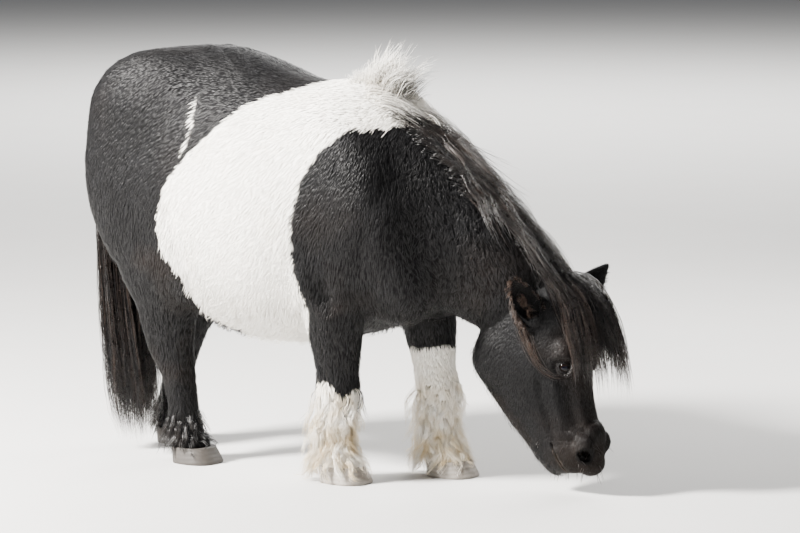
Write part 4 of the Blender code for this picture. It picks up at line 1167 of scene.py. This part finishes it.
def clumped(roots, tips, pull, draw):  # tips of neighbours lean to the same point
    centres = draw.choice(len(roots), len(roots) // coatPlan["neighbours"], replace=False)
    tree = KDTree(len(centres))
    for i, k in enumerate(centres):
        tree.insert(roots[k], i)
    tree.balance()
    owner = np.array([centres[tree.find(root)[1]] for root in roots])
    return tips * (1 - pull) + tips[owner] * pull


def laidOn(points, heights):  # points laid at a height over the skin
    found = np.empty_like(points)
    for i, point in enumerate(points):
        near, outward, _, _ = skinTree.find_nearest(Vector(point))
        found[i] = near + outward * heights[i]
    return found


def coatGroups(share, x, outward):  # the coat's pieces
    groups = {f"coat_{kind}": share[kind] > 0.5 for kind in ("head", "beard", "ears")}
    groups["coat_forelegs"] = (share["legs"] > 0.5) & (x > 0)
    groups["coat_hindlegs"] = (share["legs"] > 0.5) & (x <= 0)
    groups["coat_belly"] = (share["shag"] > 0.5) & (outward[:, 2] < 0)
    groups["coat_withers"] = (share["shag"] > 0.5) & (outward[:, 2] >= 0)
    groups["coat_neck"] = share["neck"] > 0.5
    rest = ~np.any(list(groups.values()), axis=0)
    ends = {"rump": (-9, -0.33), "loin": (-0.33, -0.12), "barrel": (-0.12, 0.10), "shoulder": (0.10, 9)}
    for name, (rear, front) in ends.items():
        groups[f"coat_{name}"] = rest & (x >= rear) & (x < front)
    return groups


def makeCoat():
    draw = np.random.default_rng(coatPlan["seed"])
    roots, outward = rootsOn(coatPlan["tufts"], draw)
    kept = roots[:, 2] > coatPlan["lowest"]
    for side in (1, -1):  # none inside the sockets or nostrils
        kept &= lidDistance(roots, side) > coatPlan["offLids"]
        away = roots - np.array(nostrilPlace(side))
        kept &= np.linalg.norm(away, axis=1) > coatPlan["offNostril"]
    roots, outward = roots[kept], outward[kept]
    nose, share = muzzleShare(roots), coatShares(roots, outward)
    table = {kind: np.array(values) for kind, values in coatPlan["kinds"].items()}
    _, length, width, rise, clump = sum(share[kind][:, None] * values for kind, values in table.items()).T
    lids = np.minimum(lidDistance(roots, 1), lidDistance(roots, -1))
    small = (1 - 0.62 * nose) * (0.45 + 0.55 * smoothStep(1.1, 2.0, lids))
    count = len(roots)
    length = length * small * draw.uniform(0.72, 1.25, count)
    width = width * (0.6 + 0.4 * small) * draw.uniform(0.75, 1.25, count) * wider
    rise = rise * (0.4 + 0.6 * small)
    flow = coatFlow(roots, outward, share, draw)
    pull = (clump * draw.uniform(0.4, 1.3, count))[:, None]
    tips = clumped(roots, roots + flow * length[:, None], pull, draw)
    stand = draw.uniform(0.6, 1.15, count) + 0.9 * (draw.uniform(0, 1, count) > 1 - coatPlan["wisps"])
    tips = laidOn(tips, rise * stand)
    start = roots - outward * np.minimum(0.0012, 0.06 * length)[:, None]
    middle = laidOn(roots + flow * (length * 0.5)[:, None], rise * stand * 0.75)
    points = np.stack([start, middle, tips], axis=1)
    halves = np.stack([width * 0.42, width * 0.5, width * 0.1], axis=1)
    fuzzy = coatPlan["fuzz"]["all"] + coatPlan["fuzz"]["withers"] * share["shag"] * (outward[:, 2] > 0)
    depth = whiteDepth(roots + flow * (length * 0.3)[:, None]) + draw.normal(size=count) * fuzzy
    white = (depth > 0).astype(float)
    tone = 0.5 + 0.20 * ripple(roots, 8, 30)[:, 0] + 0.16 * ripple(roots, 9, 11)[:, 0]
    tone = np.clip(tone + 0.16 * draw.normal(size=count), 0, 1)
    made = []
    for name, chosen in coatGroups(share, roots[:, 0], outward).items():
        chosen = np.nonzero(chosen)[0]
        pieces = max(1, math.ceil(len(chosen) * 6 / coatPlan["pieceLimit"]))
        for k, part in enumerate(np.array_split(chosen, pieces)):
            label = name if pieces == 1 else f"{name}_{k + 1}"
            made.append(hairMesh(label, points[part], halves[part], outward[part], tone[part], white[part],
                                 coatMaterial, coatPlan["thick"], nose[part], soft=coatPlan["soft"]))
    print("coat:", count, "tufts in", len(made), "pieces")
    return made


coat = makeCoat()


# long hair

floorClear = 0.004


def crestAt(share):
    rows = [Vector(row) for row in smoothRows(crestPoints, 4)]
    place = max(0, min(0.9999, share)) * (len(rows) - 1)
    i = min(len(rows) - 2, int(place))
    return rows[i].lerp(rows[i + 1], place - i), (rows[i + 1] - rows[i]).normalized()


def combed(root, aim, length, steps, clear, fall):  # a guide that keeps clear of the skin and falls
    onSkin, outward, _, _ = skinTree.find_nearest(Vector(root))
    points = [onSkin - outward * 0.004]
    place, way = onSkin + outward * clear * 0.5, Vector(aim).normalized()
    points.append(place)
    for _ in range(steps):
        way = (way + Vector((0, 0, -fall / steps))).normalized()
        place = place + way * length / steps
        near, outward, _, _ = skinTree.find_nearest(place)
        if (place - near).dot(outward) < clear and (place - near).length < 0.12:
            place = near + outward * clear
        place.z = max(place.z, floorClear + 0.002)
        way = (place - points[-1]).normalized()
        points.append(place)
    return np.array(points)


def bundle(guide, draw, count, steps, rootSpread, tipSpread, shortest=0.72, wave=0.0, waves=2.0):
    # strands round a guide, which start rootSpread apart and end tipSpread apart
    lengths = np.concatenate([[0], np.cumsum(np.linalg.norm(np.diff(guide, axis=0), axis=1))])
    t = np.linspace(0, 1, steps)
    reach = draw.uniform(shortest, 1.0, count) * lengths[-1]
    places = t[None, :] * reach[:, None]
    strands = np.stack([np.interp(places, lengths, guide[:, k]) for k in range(3)], axis=2)
    way = unit(guide[-1] - guide[0])
    side = unit(np.cross(way, (0.31, 0.22, 0.93)))
    other = np.cross(way, side)
    angle = draw.uniform(0, math.tau, count)
    radius = np.sqrt(draw.uniform(0, 1, count))
    offset = (np.cos(angle) * radius)[:, None] * side + (np.sin(angle) * radius)[:, None] * other
    spread = rootSpread * (1 - t) ** 1.5 + tipSpread * t
    strands += offset[:, None, :] * spread[None, :, None]
    if wave:
        phase, rate = draw.uniform(0, 0.8) * math.tau, waves * draw.uniform(0.85, 1.15, count)
        turns, size = math.tau * rate[:, None] * t[None, :], wave * t[None, :] ** 0.7
        swing, sway = np.sin(turns + phase) * size, np.cos(turns * 0.9 + phase) * size * 0.6
        strands += swing[:, :, None] * side + sway[:, :, None] * other
    strands += draw.normal(size=(count, 1, 3)) * 0.0012 * t[None, :, None]
    return strands


def longHair(name, strands, draw, white, width, clear, tone, spread, outward=None, brown=0):
    strands, normals = settle(strands, clear)
    strands[:, :, 2] = np.maximum(strands[:, :, 2], floorClear)
    count, steps, _ = strands.shape
    t = np.linspace(0, 1, steps)
    taper = np.where(t < 0.55, 1.0, 1 - 0.75 * ((t - 0.55) / 0.45))
    halves = (width * wider / 2 * draw.uniform(0.7, 1.3, count))[:, None] * taper[None, :]
    tones = np.clip(tone + spread * draw.normal(size=count), 0, 1)
    face = normals if outward is None else outward
    return hairMesh(name, strands, halves, face, tones, white, hairMaterial, 0.6, brown=brown)


manePlan = {
    "tuft": 150, "over": 84, "far": 70, "near": 104, "flyaway": 60,  # guides of each part
    "strands": 12,
    "width": 0.0013,
    "seed": 11,
}


def makeMane():
    draw = np.random.default_rng(manePlan["seed"])
    strands, white, brown, tone = [], [], [], []
    each = manePlan["strands"]

    def add(guide, count, whiteness, brownness, *spread):
        tone.append(np.full(count, draw.choice((0.1, 0.3, 0.5, 0.75, 1.0))))
        strands.append(bundle(guide, draw, count, 8, *spread))
        noise = 2 * whiteness * (1 - whiteness)
        white.append(np.clip(whiteness + noise * draw.normal(size=count), 0, 1))
        brown.append(np.clip(brownness + 0.15 * draw.normal(size=count), 0, 1))

    for i in range(manePlan["tuft"]):  # the tuft that stands at the withers
        share = draw.uniform(-0.10, 0.20)
        point, _ = crestAt(share)
        root = point + Vector((min(0, share) * 0.6, draw.uniform(-0.045, 0.035), 0))
        aim = Vector((0.40 + 1.4 * share + 0.15 * draw.normal(), 0.22 * draw.normal(), 1.0))
        tall = 0.030 + 0.100 * smoothStep(-0.07, 0.05, share) - 0.03 * smoothStep(0.12, 0.2, share)
        guide = combed(root, aim, tall * draw.uniform(0.6, 1.15), 6, 0.006, 0.4 + 1.0 * draw.uniform())
        add(guide, each, smoothStep(0.24, 0.10, share), 0, 0.014, 0.024, 0.40, 0.006, 1.0)
    for i in range(manePlan["over"]):  # from the parting on the near side up over the crest
        share = 0.04 + 0.54 * (i + draw.uniform()) / manePlan["over"]
        point, along = crestAt(share)
        root = point + Vector((-0.02, draw.uniform(-0.080, -0.030), -0.035))
        aim = along * (0.55 + 0.25 * draw.uniform(-1, 1)) + Vector((0, 0.50, 0.10))
        guide = combed(root, aim, draw.uniform(0.10, 0.16), 8, draw.uniform(0.003, 0.007), 1.6)
        add(guide, each, smoothStep(0.26, 0.12, share), 0.05, 0.016, 0.014, 0.50, 0.004, 1.2)
    for i in range(manePlan["far"]):  # down the far side
        share = 0.05 + 0.93 * (i + draw.uniform()) / manePlan["far"]
        point, along = crestAt(share)
        root = point + Vector((0, draw.uniform(-0.026, 0.018), 0))
        aim = along * (0.55 + 0.30 * draw.uniform(-1, 1)) + Vector((0, 0.80, 0.30))
        guide = combed(root, aim, 0.225 * draw.uniform(0.75, 1.2), 7, draw.uniform(0.004, 0.012), 2.2)
        add(guide, each, smoothStep(0.36, 0.18, share), 0.15, 0.010, 0.011, 0.6, 0.004, 1.3)
    for i in range(manePlan["near"]):  # from the whorl forward along the near side to the poll
        share = 0.34 + 0.64 * (i + draw.uniform()) / manePlan["near"]
        point, along = crestAt(share)
        root = point + Vector((0, draw.uniform(-0.060, 0.015), -0.004))
        aim = along + Vector((0, -0.14 + 0.16 * draw.normal(), 0.04 + 0.12 * draw.normal()))
        fall = 0.16 + 0.6 * max(0, (share - 0.72) / 0.28)
        guide = combed(root, aim, 0.200 * draw.uniform(0.6, 1.15), 7, draw.uniform(0.002, 0.013), fall)
        add(guide, each, 0.0, draw.choice((0.0, 0.1, 0.35)), 0.016, 0.012, 0.5, 0.005, 1.3)
    for i in range(manePlan["flyaway"]):  # single hairs that stand off the crest
        share = draw.uniform(0.02, 0.95)
        point, along = crestAt(share)
        aim = along * draw.uniform(0.6, 1.4) + Vector((0, 0.25 * draw.normal(), 0.55))
        guide = combed(point, aim, draw.uniform(0.05, 0.10), 6, 0.006, 2.0)
        add(guide, 1, smoothStep(0.42, 0.25, share), 0.1, 0.001, 0.001, 0.9, 0.004, 0.8)
    strands, white, brown, tone = (np.concatenate(part) for part in (strands, white, brown, tone))
    return longHair("mane", strands, draw, white, manePlan["width"], 0.003, tone, 0.15, brown=brown)


forelockPlan = {"guides": 150, "strands": 13, "length": 0.330, "width": 0.0013, "seed": 12}


def makeForelock():
    draw = np.random.default_rng(forelockPlan["seed"])
    strands, brown, tone = [], [], []
    for i in range(forelockPlan["guides"]):
        spread = draw.uniform(-1, 1)  # from the near side to the far one
        back = draw.uniform()
        root = Vector((0.672 + 0.050 * back, middleOfHead + 0.040 * spread, 0.520 - 0.016 * back))
        aim = Vector((0.50 + 0.35 * draw.uniform(), 0.16 + 0.34 * spread, 0.06 - 0.36 * max(0, -spread)))
        length = (forelockPlan["length"] - 0.065 * max(0, -spread)) * draw.uniform(0.70, 1.08)
        clear = 0.004 + 0.034 * (0.6 + 0.4 * spread) * draw.uniform() ** 1.6
        guide = combed(root, aim, length, 10, clear, 3.9)
        count = forelockPlan["strands"]
        strands.append(bundle(guide, draw, count, 9, 0.009, 0.009, 0.74, 0.005, 1.3))
        brown.append(np.clip(draw.choice((0.0, 0.1, 0.4)) + 0.12 * draw.normal(size=count), 0, 1))
        tone.append(np.full(count, draw.choice((0.0, 0.1, 0.2, 0.4, 0.8))))
    strands, brown, tone = (np.concatenate(part) for part in (strands, brown, tone))
    return longHair("forelock", strands, draw, 0, forelockPlan["width"], 0.003, tone, 0.15, brown=brown)


tailPlan = {"guides": 120, "strands": 22, "width": 0.0016, "seed": 13}


def makeTail():
    draw = np.random.default_rng(tailPlan["seed"])
    curve = np.array(smoothRows(tailPoints, 4))
    strands = []
    for i in range(tailPlan["guides"]):
        start = draw.uniform(1, 13)
        angle = goldenTurn * i
        stop = len(curve) - 1 - draw.choice((0, 0, 0.6, 1, 2, 3.5, 5))
        outer = draw.uniform(0.25, 1.0)
        turn = 0.6 * draw.uniform(-1, 1)
        guide = []
        for k in range(10):
            s = k / 9
            place = start + (stop - start) * s
            point = np.array([np.interp(place, range(len(curve)), curve[:, axis]) for axis in range(3)])
            spread = 0.024 * min(1, s * 4 + 0.5) + 0.044 * math.sin(math.pi * min(1, s * 0.9)) * outer
            direction = angle + turn * s
            point += np.array([math.cos(direction) * spread * 0.9, math.sin(direction) * spread * 1.15, 0])
            point[2] = max(point[2], floorClear + 0.003)
            guide.append(point)
        strands.append(bundle(np.array(guide), draw, tailPlan["strands"], 10, 0.009, 0.013, 0.8, 0.006, 1.8))
    strands = np.concatenate(strands)
    out = np.zeros(strands.shape)
    for axis in (0, 1):
        out[:, :, axis] = strands[:, :, axis] - np.interp(-strands[:, :, 2], -curve[:, 2], curve[:, axis])
    brown = np.clip(0.02 + 0.22 * draw.normal(size=len(strands)), 0, 1)
    return longHair("tail_hair", strands, draw, 0, tailPlan["width"], 0.003, 0.34, 0.32,
                    outward=unit(out + 1e-5), brown=brown)


featherPlan = {
    "fore": {"guides": 96, "strands": 14, "length": 0.100, "high": 0.235, "wave": 0.0110},
    "hind": {"guides": 54, "strands": 10, "length": 0.055, "high": 0.130, "wave": 0.002},
    "low": 0.052,  # its lowest roots
    "width": 0.0014,
    "seed": 14,
}


def makeFeather(name):
    draw = np.random.default_rng(featherPlan["seed"] + legNames.index(name))
    plan = featherPlan[name[:4]]
    rows = smoothRows(legPlaces[name], 8)
    strands = []
    for i in range(plan["guides"]):
        angle = goldenTurn * i
        z = plan["high"] - (plan["high"] - featherPlan["low"]) * ((i + 0.5) / plan["guides"]) ** 0.8
        front, _, back, _, halfWidth, left = min(rows, key=lambda row: abs(row[1] - z))
        behind = 0.5 - 0.5 * math.cos(angle)  # 1 at the back
        out = Vector((math.cos(angle), math.sin(angle), 0))
        root = Vector(((front + back) / 2 + out.x * (front - back) / 2, left + out.y * halfWidth, z))
        reach = plan["length"] * (0.70 + 0.5 * behind) * draw.uniform(0.75, 1.15)
        aim = out * (0.20 + 0.18 * behind) + Vector((0, 0.25 * draw.uniform(-1, 1), -0.95))
        guide = combed(root, aim, reach, 5, draw.uniform(0.003, 0.010), 0.3)
        for point in guide:
            if point[2] < 0.055:  # clear of the hoof's wall
                flare = np.array([point[0] - (front + back) / 2, point[1] - left, 0])
                point += unit(flare) * 0.007
        strands.append(bundle(guide, draw, plan["strands"], 6, 0.008, 0.006, 0.7, plan["wave"], 1.1))
    strands = np.concatenate(strands)
    count = len(strands)
    white = (whiteDepth(strands[:, 0]) + 0.006 * draw.normal(size=count) > 0).astype(float)
    return longHair("feather_" + name, strands, draw, white, featherPlan["width"], 0.002, 0.48, 0.30)


# hair of the ears, the cheek lock, lashes and whiskers

headHairPlan = {
    "rim": 40, "inner": 26, "lock": 26, "lashes": 34, "whiskers": 90,  # guides
    "strands": 9,  # in each tuft of the ears
    "width": 0.0012,
    "seed": 21,
}
cheekLock = [  # from behind the near ear round under the eye
    (0.640, -0.022, 0.500), (0.619, -0.010, 0.470), (0.626, 0.002, 0.425), (0.649, 0.000, 0.380),
    (0.674, 0.000, 0.325), (0.704, 0.014, 0.292), (0.738, 0.030, 0.284), (0.764, 0.044, 0.292),
]


def straight(root, aim, length, fall, steps=5):  # a short free guide that bends down
    way, place = Vector(aim).normalized(), Vector(root)
    points = [place - way * 0.003, place.copy()]
    for _ in range(steps):
        way = (way + Vector((0, 0, -fall / steps * 0.5))).normalized()
        place = place + way * length / steps
        points.append(place.copy())
    return np.array(points)


def makeHeadHair():
    draw = np.random.default_rng(headHairPlan["seed"])
    strands, brown = [], []
    each = headHairPlan["strands"]

    def add(guide, count, brownness, *spread):
        strands.append(bundle(guide, draw, count, 6, *spread))
        brown.append(np.clip(brownness + 0.15 * draw.normal(size=count), 0, 1))

    for name, ear in earPlan.items():
        base, axis, across, out = earAxes(ear)
        if across.dot(Vector((-0.819, -0.574, 0))) < 0:
            across = -across  # to the rear, as the photograph shows the near ear
        for i in range(headHairPlan["rim"]):
            t = draw.uniform(0.12, 0.97)
            side = 1 if i % 5 < 3 else -1
            width = float(np.interp(t, [row[0] for row in earProfile], [row[1] for row in earProfile]))
            root = base + axis * t + across * side * 0.034 * width + out * 0.002
            upward = axis.normalized()
            if side > 0:  # longer along the rear rim, and hanging from its lower part
                aim = across * 0.35 + out * 0.45 + upward * (0.55 if t > 0.7 else -0.1)
                aim -= Vector((0, 0, 0.45))
                guide = straight(root, aim, draw.uniform(0.016, 0.034), 1.0)
            else:
                aim = -across * 0.1 + out * 0.5 + upward * 0.6
                guide = straight(root, aim, draw.uniform(0.008, 0.018), 1.0)
            add(guide, each, 0.75 if name == "right" else 0.25, 0.004, 0.006, 0.5, 0.002, 1.0)
        for i in range(headHairPlan["inner"]):
            t = draw.uniform(0.15, 0.62)
            root = base + axis * t + across * draw.uniform(-0.2, 0.9) * 0.016 - out * 0.004
            aim = out * 0.9 + across * 0.3 * draw.normal() + Vector((0, 0, 0.15 - 0.4 * draw.uniform()))
            guide = straight(root, aim, draw.uniform(0.014, 0.026), 1.2)
            add(guide, each, 0.95 if name == "right" else 0.5, 0.004, 0.004, 0.5, 0.003, 1.2)
    path = np.array(smoothRows(cheekLock, 3))
    for i in range(headHairPlan["lock"]):
        first = int(draw.integers(0, 11))
        last = len(path) - int(draw.integers(0, 11))
        offset = np.array([0.005 * draw.normal(), 0, 0.006 * draw.normal()])
        guide = path[first:last] + offset * np.linspace(1.3, 0.4, last - first)[:, None]
        guide, _ = settle(guide, 0.002 + 0.005 * draw.uniform())
        count = int(draw.integers(2, 5))
        strands.append(bundle(guide, draw, count, 6, 0.004, 0.010, 0.6, 0.005, 1.0))
        brown.append(np.clip(draw.choice((0.1, 0.4, 0.9)) + 0.15 * draw.normal(size=count), 0, 1))
    for side in (1, -1):  # lashes
        look, across, up = eyeFrame(side)
        for i in range(headHairPlan["lashes"]):
            angle = math.radians(-70 + 140 * (i + draw.uniform()) / headHairPlan["lashes"])
            around = up * (math.cos(angle) * 0.0037 + math.sin(angle) * 0.0175)
            front = across * side * -math.cos(angle) * 0.0130
            root = eyePlace(side) + look * 0.0165 + around + front
            aim = look * 0.8 + front.normalized() * 0.7 + Vector((0, 0, -0.25)) + up * 0.2 * draw.normal()
            add(straight(root, aim, draw.uniform(0.008, 0.014), 1.2), 1, 0.1, 0.0005, 0.0005, 0.9, 0.0, 1.0)
    for i in range(headHairPlan["whiskers"]):  # on lips, chin and nostrils
        side = draw.choice((1, -1))
        x, aside, z = draw.uniform(0.655, 0.815), side * draw.uniform(0.0, 0.055), draw.uniform(0.030, 0.135)
        near, outward, _, _ = skinTree.find_nearest(Vector((x, middleOfHead + aside, z)))
        aim = outward + Vector((0, 0, -0.6)) + Vector(draw.normal(size=3)) * 0.15
        add(straight(near, aim, draw.uniform(0.012, 0.030), 0.8), 1, 0.3, 0.0002, 0.0002, 0.9, 0.0, 1.0)
    strands, brown = np.concatenate(strands), np.concatenate(brown)
    count = len(strands)
    t = np.linspace(0, 1, 6)
    widths = headHairPlan["width"] * wider * draw.uniform(0.7, 1.3, count)
    halves = widths[:, None] / 2 * (1 - 0.7 * t)[None, :]
    strands[:, :, 2] = np.maximum(strands[:, :, 2], floorClear)
    outward = np.broadcast_to(np.array((0.5, -0.6, 0.4)), (count, 3))
    tones = np.clip(0.5 + 0.3 * draw.normal(size=count), 0, 1)
    return hairMesh("head_hair", strands, halves, outward, tones, 0, hairMaterial, 0.8, brown=brown)


longPieces = {"head": makeHeadHair(), "mane": makeMane(), "forelock": makeForelock(), "tail": makeTail()}
feathers = [makeFeather(name) for name in legNames]
longMeshes = [piece.data for piece in list(longPieces.values()) + feathers]
print("long hair:", sum(len(mesh.loops) - 2 * len(mesh.polygons) for mesh in longMeshes), "triangles")


# eyes

def eyeFinish():
    wet = {"Specular IOR Level": 0.16, "Coat Weight": 0.18, "Coat Roughness": 0.03, "IOR": 1.38}
    finish = Finish("ponyEye", wet)
    across, up = finish.value("across"), finish.value("up")
    ring = finish.node("ShaderNodeMath", {"operation": "SQRT"}, {0: across * across + up * up})
    streaks = finish.noise(900.0, 2.0)
    iris = finish.mix(finish.range(streaks, 0.3, 0.7), (0.003, 0.0015, 0.0010), (0.008, 0.0038, 0.002))
    pupil = finish.range(across * across * (1 / 0.20) + up * up * (1 / 0.07), 0.9, 1.15)  # a level oval
    colour = finish.mix(pupil, (0.002, 0.002, 0.004), iris)
    white = finish.range(ring, 0.84, 0.95)
    colour = finish.mix(white, colour, (0.006, 0.0045, 0.004))
    finish.feed("Base Color", colour)
    finish.feed("Roughness", finish.range(ring, 0.0, 1.0, 0.06, 0.16))
    return finish.material


eyeMaterial = eyeFinish()


def makeEye(side, name):
    made = mass((0, 0, 0), (1, 1, 1), segments=64)
    mesh = bpy.data.meshes.new(name)
    made.to_mesh(mesh)
    made.free()
    look, across, up = (np.array(v) for v in eyeFrame(side))
    points = vertexVectors(mesh, "co")
    radius, centre = eyePlan["radius"], np.array(eyePlace(side))
    front = points @ look
    bulge = 1 + 0.018 * smoothStep(0.72, 0.95, front)
    mesh.vertices.foreach_set("co", (centre + points * radius * bulge[:, None] * 0.985).ravel())
    level = unit(np.cross((0, 0, 1), look))  # the pupil lies level
    rise = np.cross(look, level)
    addFloats(mesh, "across", points @ level)
    addFloats(mesh, "up", points @ rise)
    mesh.polygons.foreach_set("use_smooth", [True] * len(mesh.polygons))
    mesh.update()
    mesh.materials.append(eyeMaterial)
    return added(name, mesh)


eyes = {"eye_left": makeEye(1, "eyeball_left"), "eye_right": makeEye(-1, "eyeball_right")}


# hooves

hoofPlan = {
    "sides": 56,
    "square": 2.6,  # 2 would be an ellipse
    # height, spread, and how far forward
    "wall": [(0, 1.09, 0.012), (0.005, 1.10, 0.012), (0.022, 1.04, 0.006), (0.040, 0.96, 0)],
    "growthRings": 620.0,
}


def hoofFinish():
    finish = Finish("hoofHorn", {"Specular IOR Level": 0.4})
    wobble = finish.noise(30.0, 3.0)
    turns = finish.level("Z") * hoofPlan["growthRings"] + wobble * 7.0
    rings = finish.node("ShaderNodeMath", {"operation": "SINE"}, {0: turns})
    colour = finish.mix(finish.range(rings, -1.0, 1.0), (0.27, 0.245, 0.215), (0.34, 0.31, 0.275))
    colour = finish.mix(finish.range(finish.noise(45.0, 4.0), 0.5, 0.8), colour, (0.10, 0.075, 0.055))
    hind = finish.range(finish.level("X"), -0.10, 0.05, 0.92, 0.0)  # the black legs' hooves are dark
    colour = finish.mix(hind, colour, (0.030, 0.026, 0.023))
    finish.feed("Base Color", colour)
    finish.feed("Roughness", finish.range(wobble, 0.3, 0.7, 0.45, 0.7))
    finish.bump(rings * 0.3 + finish.noise(260.0, 2.0) * 0.4, 0.5, 0.0006)
    return finish.material


hoofMaterial = hoofFinish()


def makeHoof(name):
    front, _, back, _, halfWidth, left = legPlaces[name][-1]
    middle, square = (front + back) / 2, hoofPlan["square"]
    rings = []
    for z, spread, forward in smoothRows(hoofPlan["wall"], 7):
        ring = []
        for i in range(hoofPlan["sides"]):
            angle = math.tau * i / hoofPlan["sides"]
            x, y = math.cos(angle), math.sin(angle)
            heel = 1.0 - 0.14 * (0.5 - 0.5 * math.tanh(x * 6))
            reach = (abs(x) ** square + abs(y) ** square) ** (-1 / square)
            ring.append(Vector((middle + forward + (front - middle) * spread * reach * x * heel,
                                left + halfWidth * spread * reach * y, z)))
        rings.append(ring)
    hoof = joined(name.replace("leg_", "hoof_") + "_horn", [tube(rings)])
    for face in hoof.data.polygons:
        face.use_smooth = len(face.vertices) == 3
    hoof.data.materials.append(hoofMaterial)
    return hoof


hooves = {name.replace("leg_", "hoof_"): makeHoof(name) for name in legNames}
print("eyes and hooves ready")


# ride, and what each piece replaces

def finished(piece, slot, *nodes):
    piece.data.transform(Matrix.Translation(shift))
    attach(piece, "root")
    if nodes:
        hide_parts(*nodes)


fleshNodes = ["torso", "neck", "head", "ear_left", "ear_right"]
fleshNodes += [name.replace("_", f"_{half}_") for name in legNames for half in ("upper", "lower")]
finished(skin, "coat", *fleshNodes)
for piece in coat + [longPieces[name] for name in ("head", "mane", "forelock")]:
    finished(piece, "coat")
finished(longPieces["tail"], "long_hair", "tail")
for piece in feathers:
    finished(piece, "coat")
for node, piece in eyes.items():
    finished(piece, "eyes", node)
for node, piece in hooves.items():
    finished(piece, "hooves", node)


# floor, light and camera

studioPlan = {
    "floor": ((0.56, 0.555, 0.545), (0.59, 0.585, 0.575)),
    "lights": {  # place, target, power, size and colour
        "key": ((-2.3, -3.0, 3.4), (0.0, 0.0, 0.55), 2200.0, 0.9, (1.0, 0.97, 0.93)),
        "fill": ((3.2, -2.2, 1.8), (0.2, 0.0, 0.5), 15.0, 2.5, (0.93, 0.96, 1.0)),
        "rim": ((0.5, 3.2, 2.8), (0.0, 0.0, 0.6), 220.0, 2.2, (1.0, 0.98, 0.95)),
        "back": ((-6.5, 10.0, 7.0), (-6.5, 10.0, 0.0), 2600.0, 6.0, (1.0, 0.99, 0.97)),  # on the far floor
    },
    "sky": (0.90, 0.93, 1.0),
    "skyStrength": 0.15,
}


def makeFloor():
    mesh = bpy.data.meshes.new("floor")
    mesh.from_pydata([(-30, -30, 0), (30, -30, 0), (30, 30, 0), (-30, 30, 0)], [], [(0, 1, 2, 3)])
    finish = Finish("studioFloor", {"Roughness": 0.85})
    finish.feed("Base Color", finish.mix(finish.noise(3.0), *studioPlan["floor"]))
    mesh.materials.append(finish.material)
    added("floor", mesh)


def areaLight(name, place, target, power, size, colour):
    light = bpy.data.lights.new(name, "AREA")
    light.energy, light.size, light.color = power, size, colour
    obj = added(name, light)
    obj.location = place
    obj.rotation_euler = (Vector(target) - Vector(place)).to_track_quat("-Z", "Y").to_euler()


makeFloor()
for name, settings in studioPlan["lights"].items():
    areaLight(name, *settings)
world = bpy.data.worlds.new("studio")
world.use_nodes = True
sky = world.node_tree.nodes["Background"].inputs
sky["Color"].default_value = (*studioPlan["sky"], 1)
sky["Strength"].default_value = studioPlan["skyStrength"]
bpy.context.scene.world = world

cameraPlan = {
    "over": (0.17, -0.11, 1.5),  # above the near forefoot
    "azimuth": 35.0, "distance": 8.0, "aside": 0.156, "down": 6.95, "lens": 150.0, "sensor": 36.0,
}


def makeCamera():
    turn, down = math.radians(cameraPlan["azimuth"]), math.radians(cameraPlan["down"])
    right = Vector((math.cos(turn), math.sin(turn), 0))
    toward = Vector((math.sin(turn), -math.cos(turn), 0))
    camera = added("camera", bpy.data.cameras.new("camera"))
    camera.data.lens = cameraPlan["lens"]
    camera.data.sensor_width = cameraPlan["sensor"]
    away = toward * cameraPlan["distance"] + right * cameraPlan["aside"]
    camera.location = Vector(cameraPlan["over"]) + shift + away
    look = -toward * math.cos(down) - Vector((0, 0, math.sin(down)))
    camera.rotation_euler = look.to_track_quat("-Z", "Y").to_euler()
    bpy.context.scene.camera = camera


makeCamera()
print("studio ready")
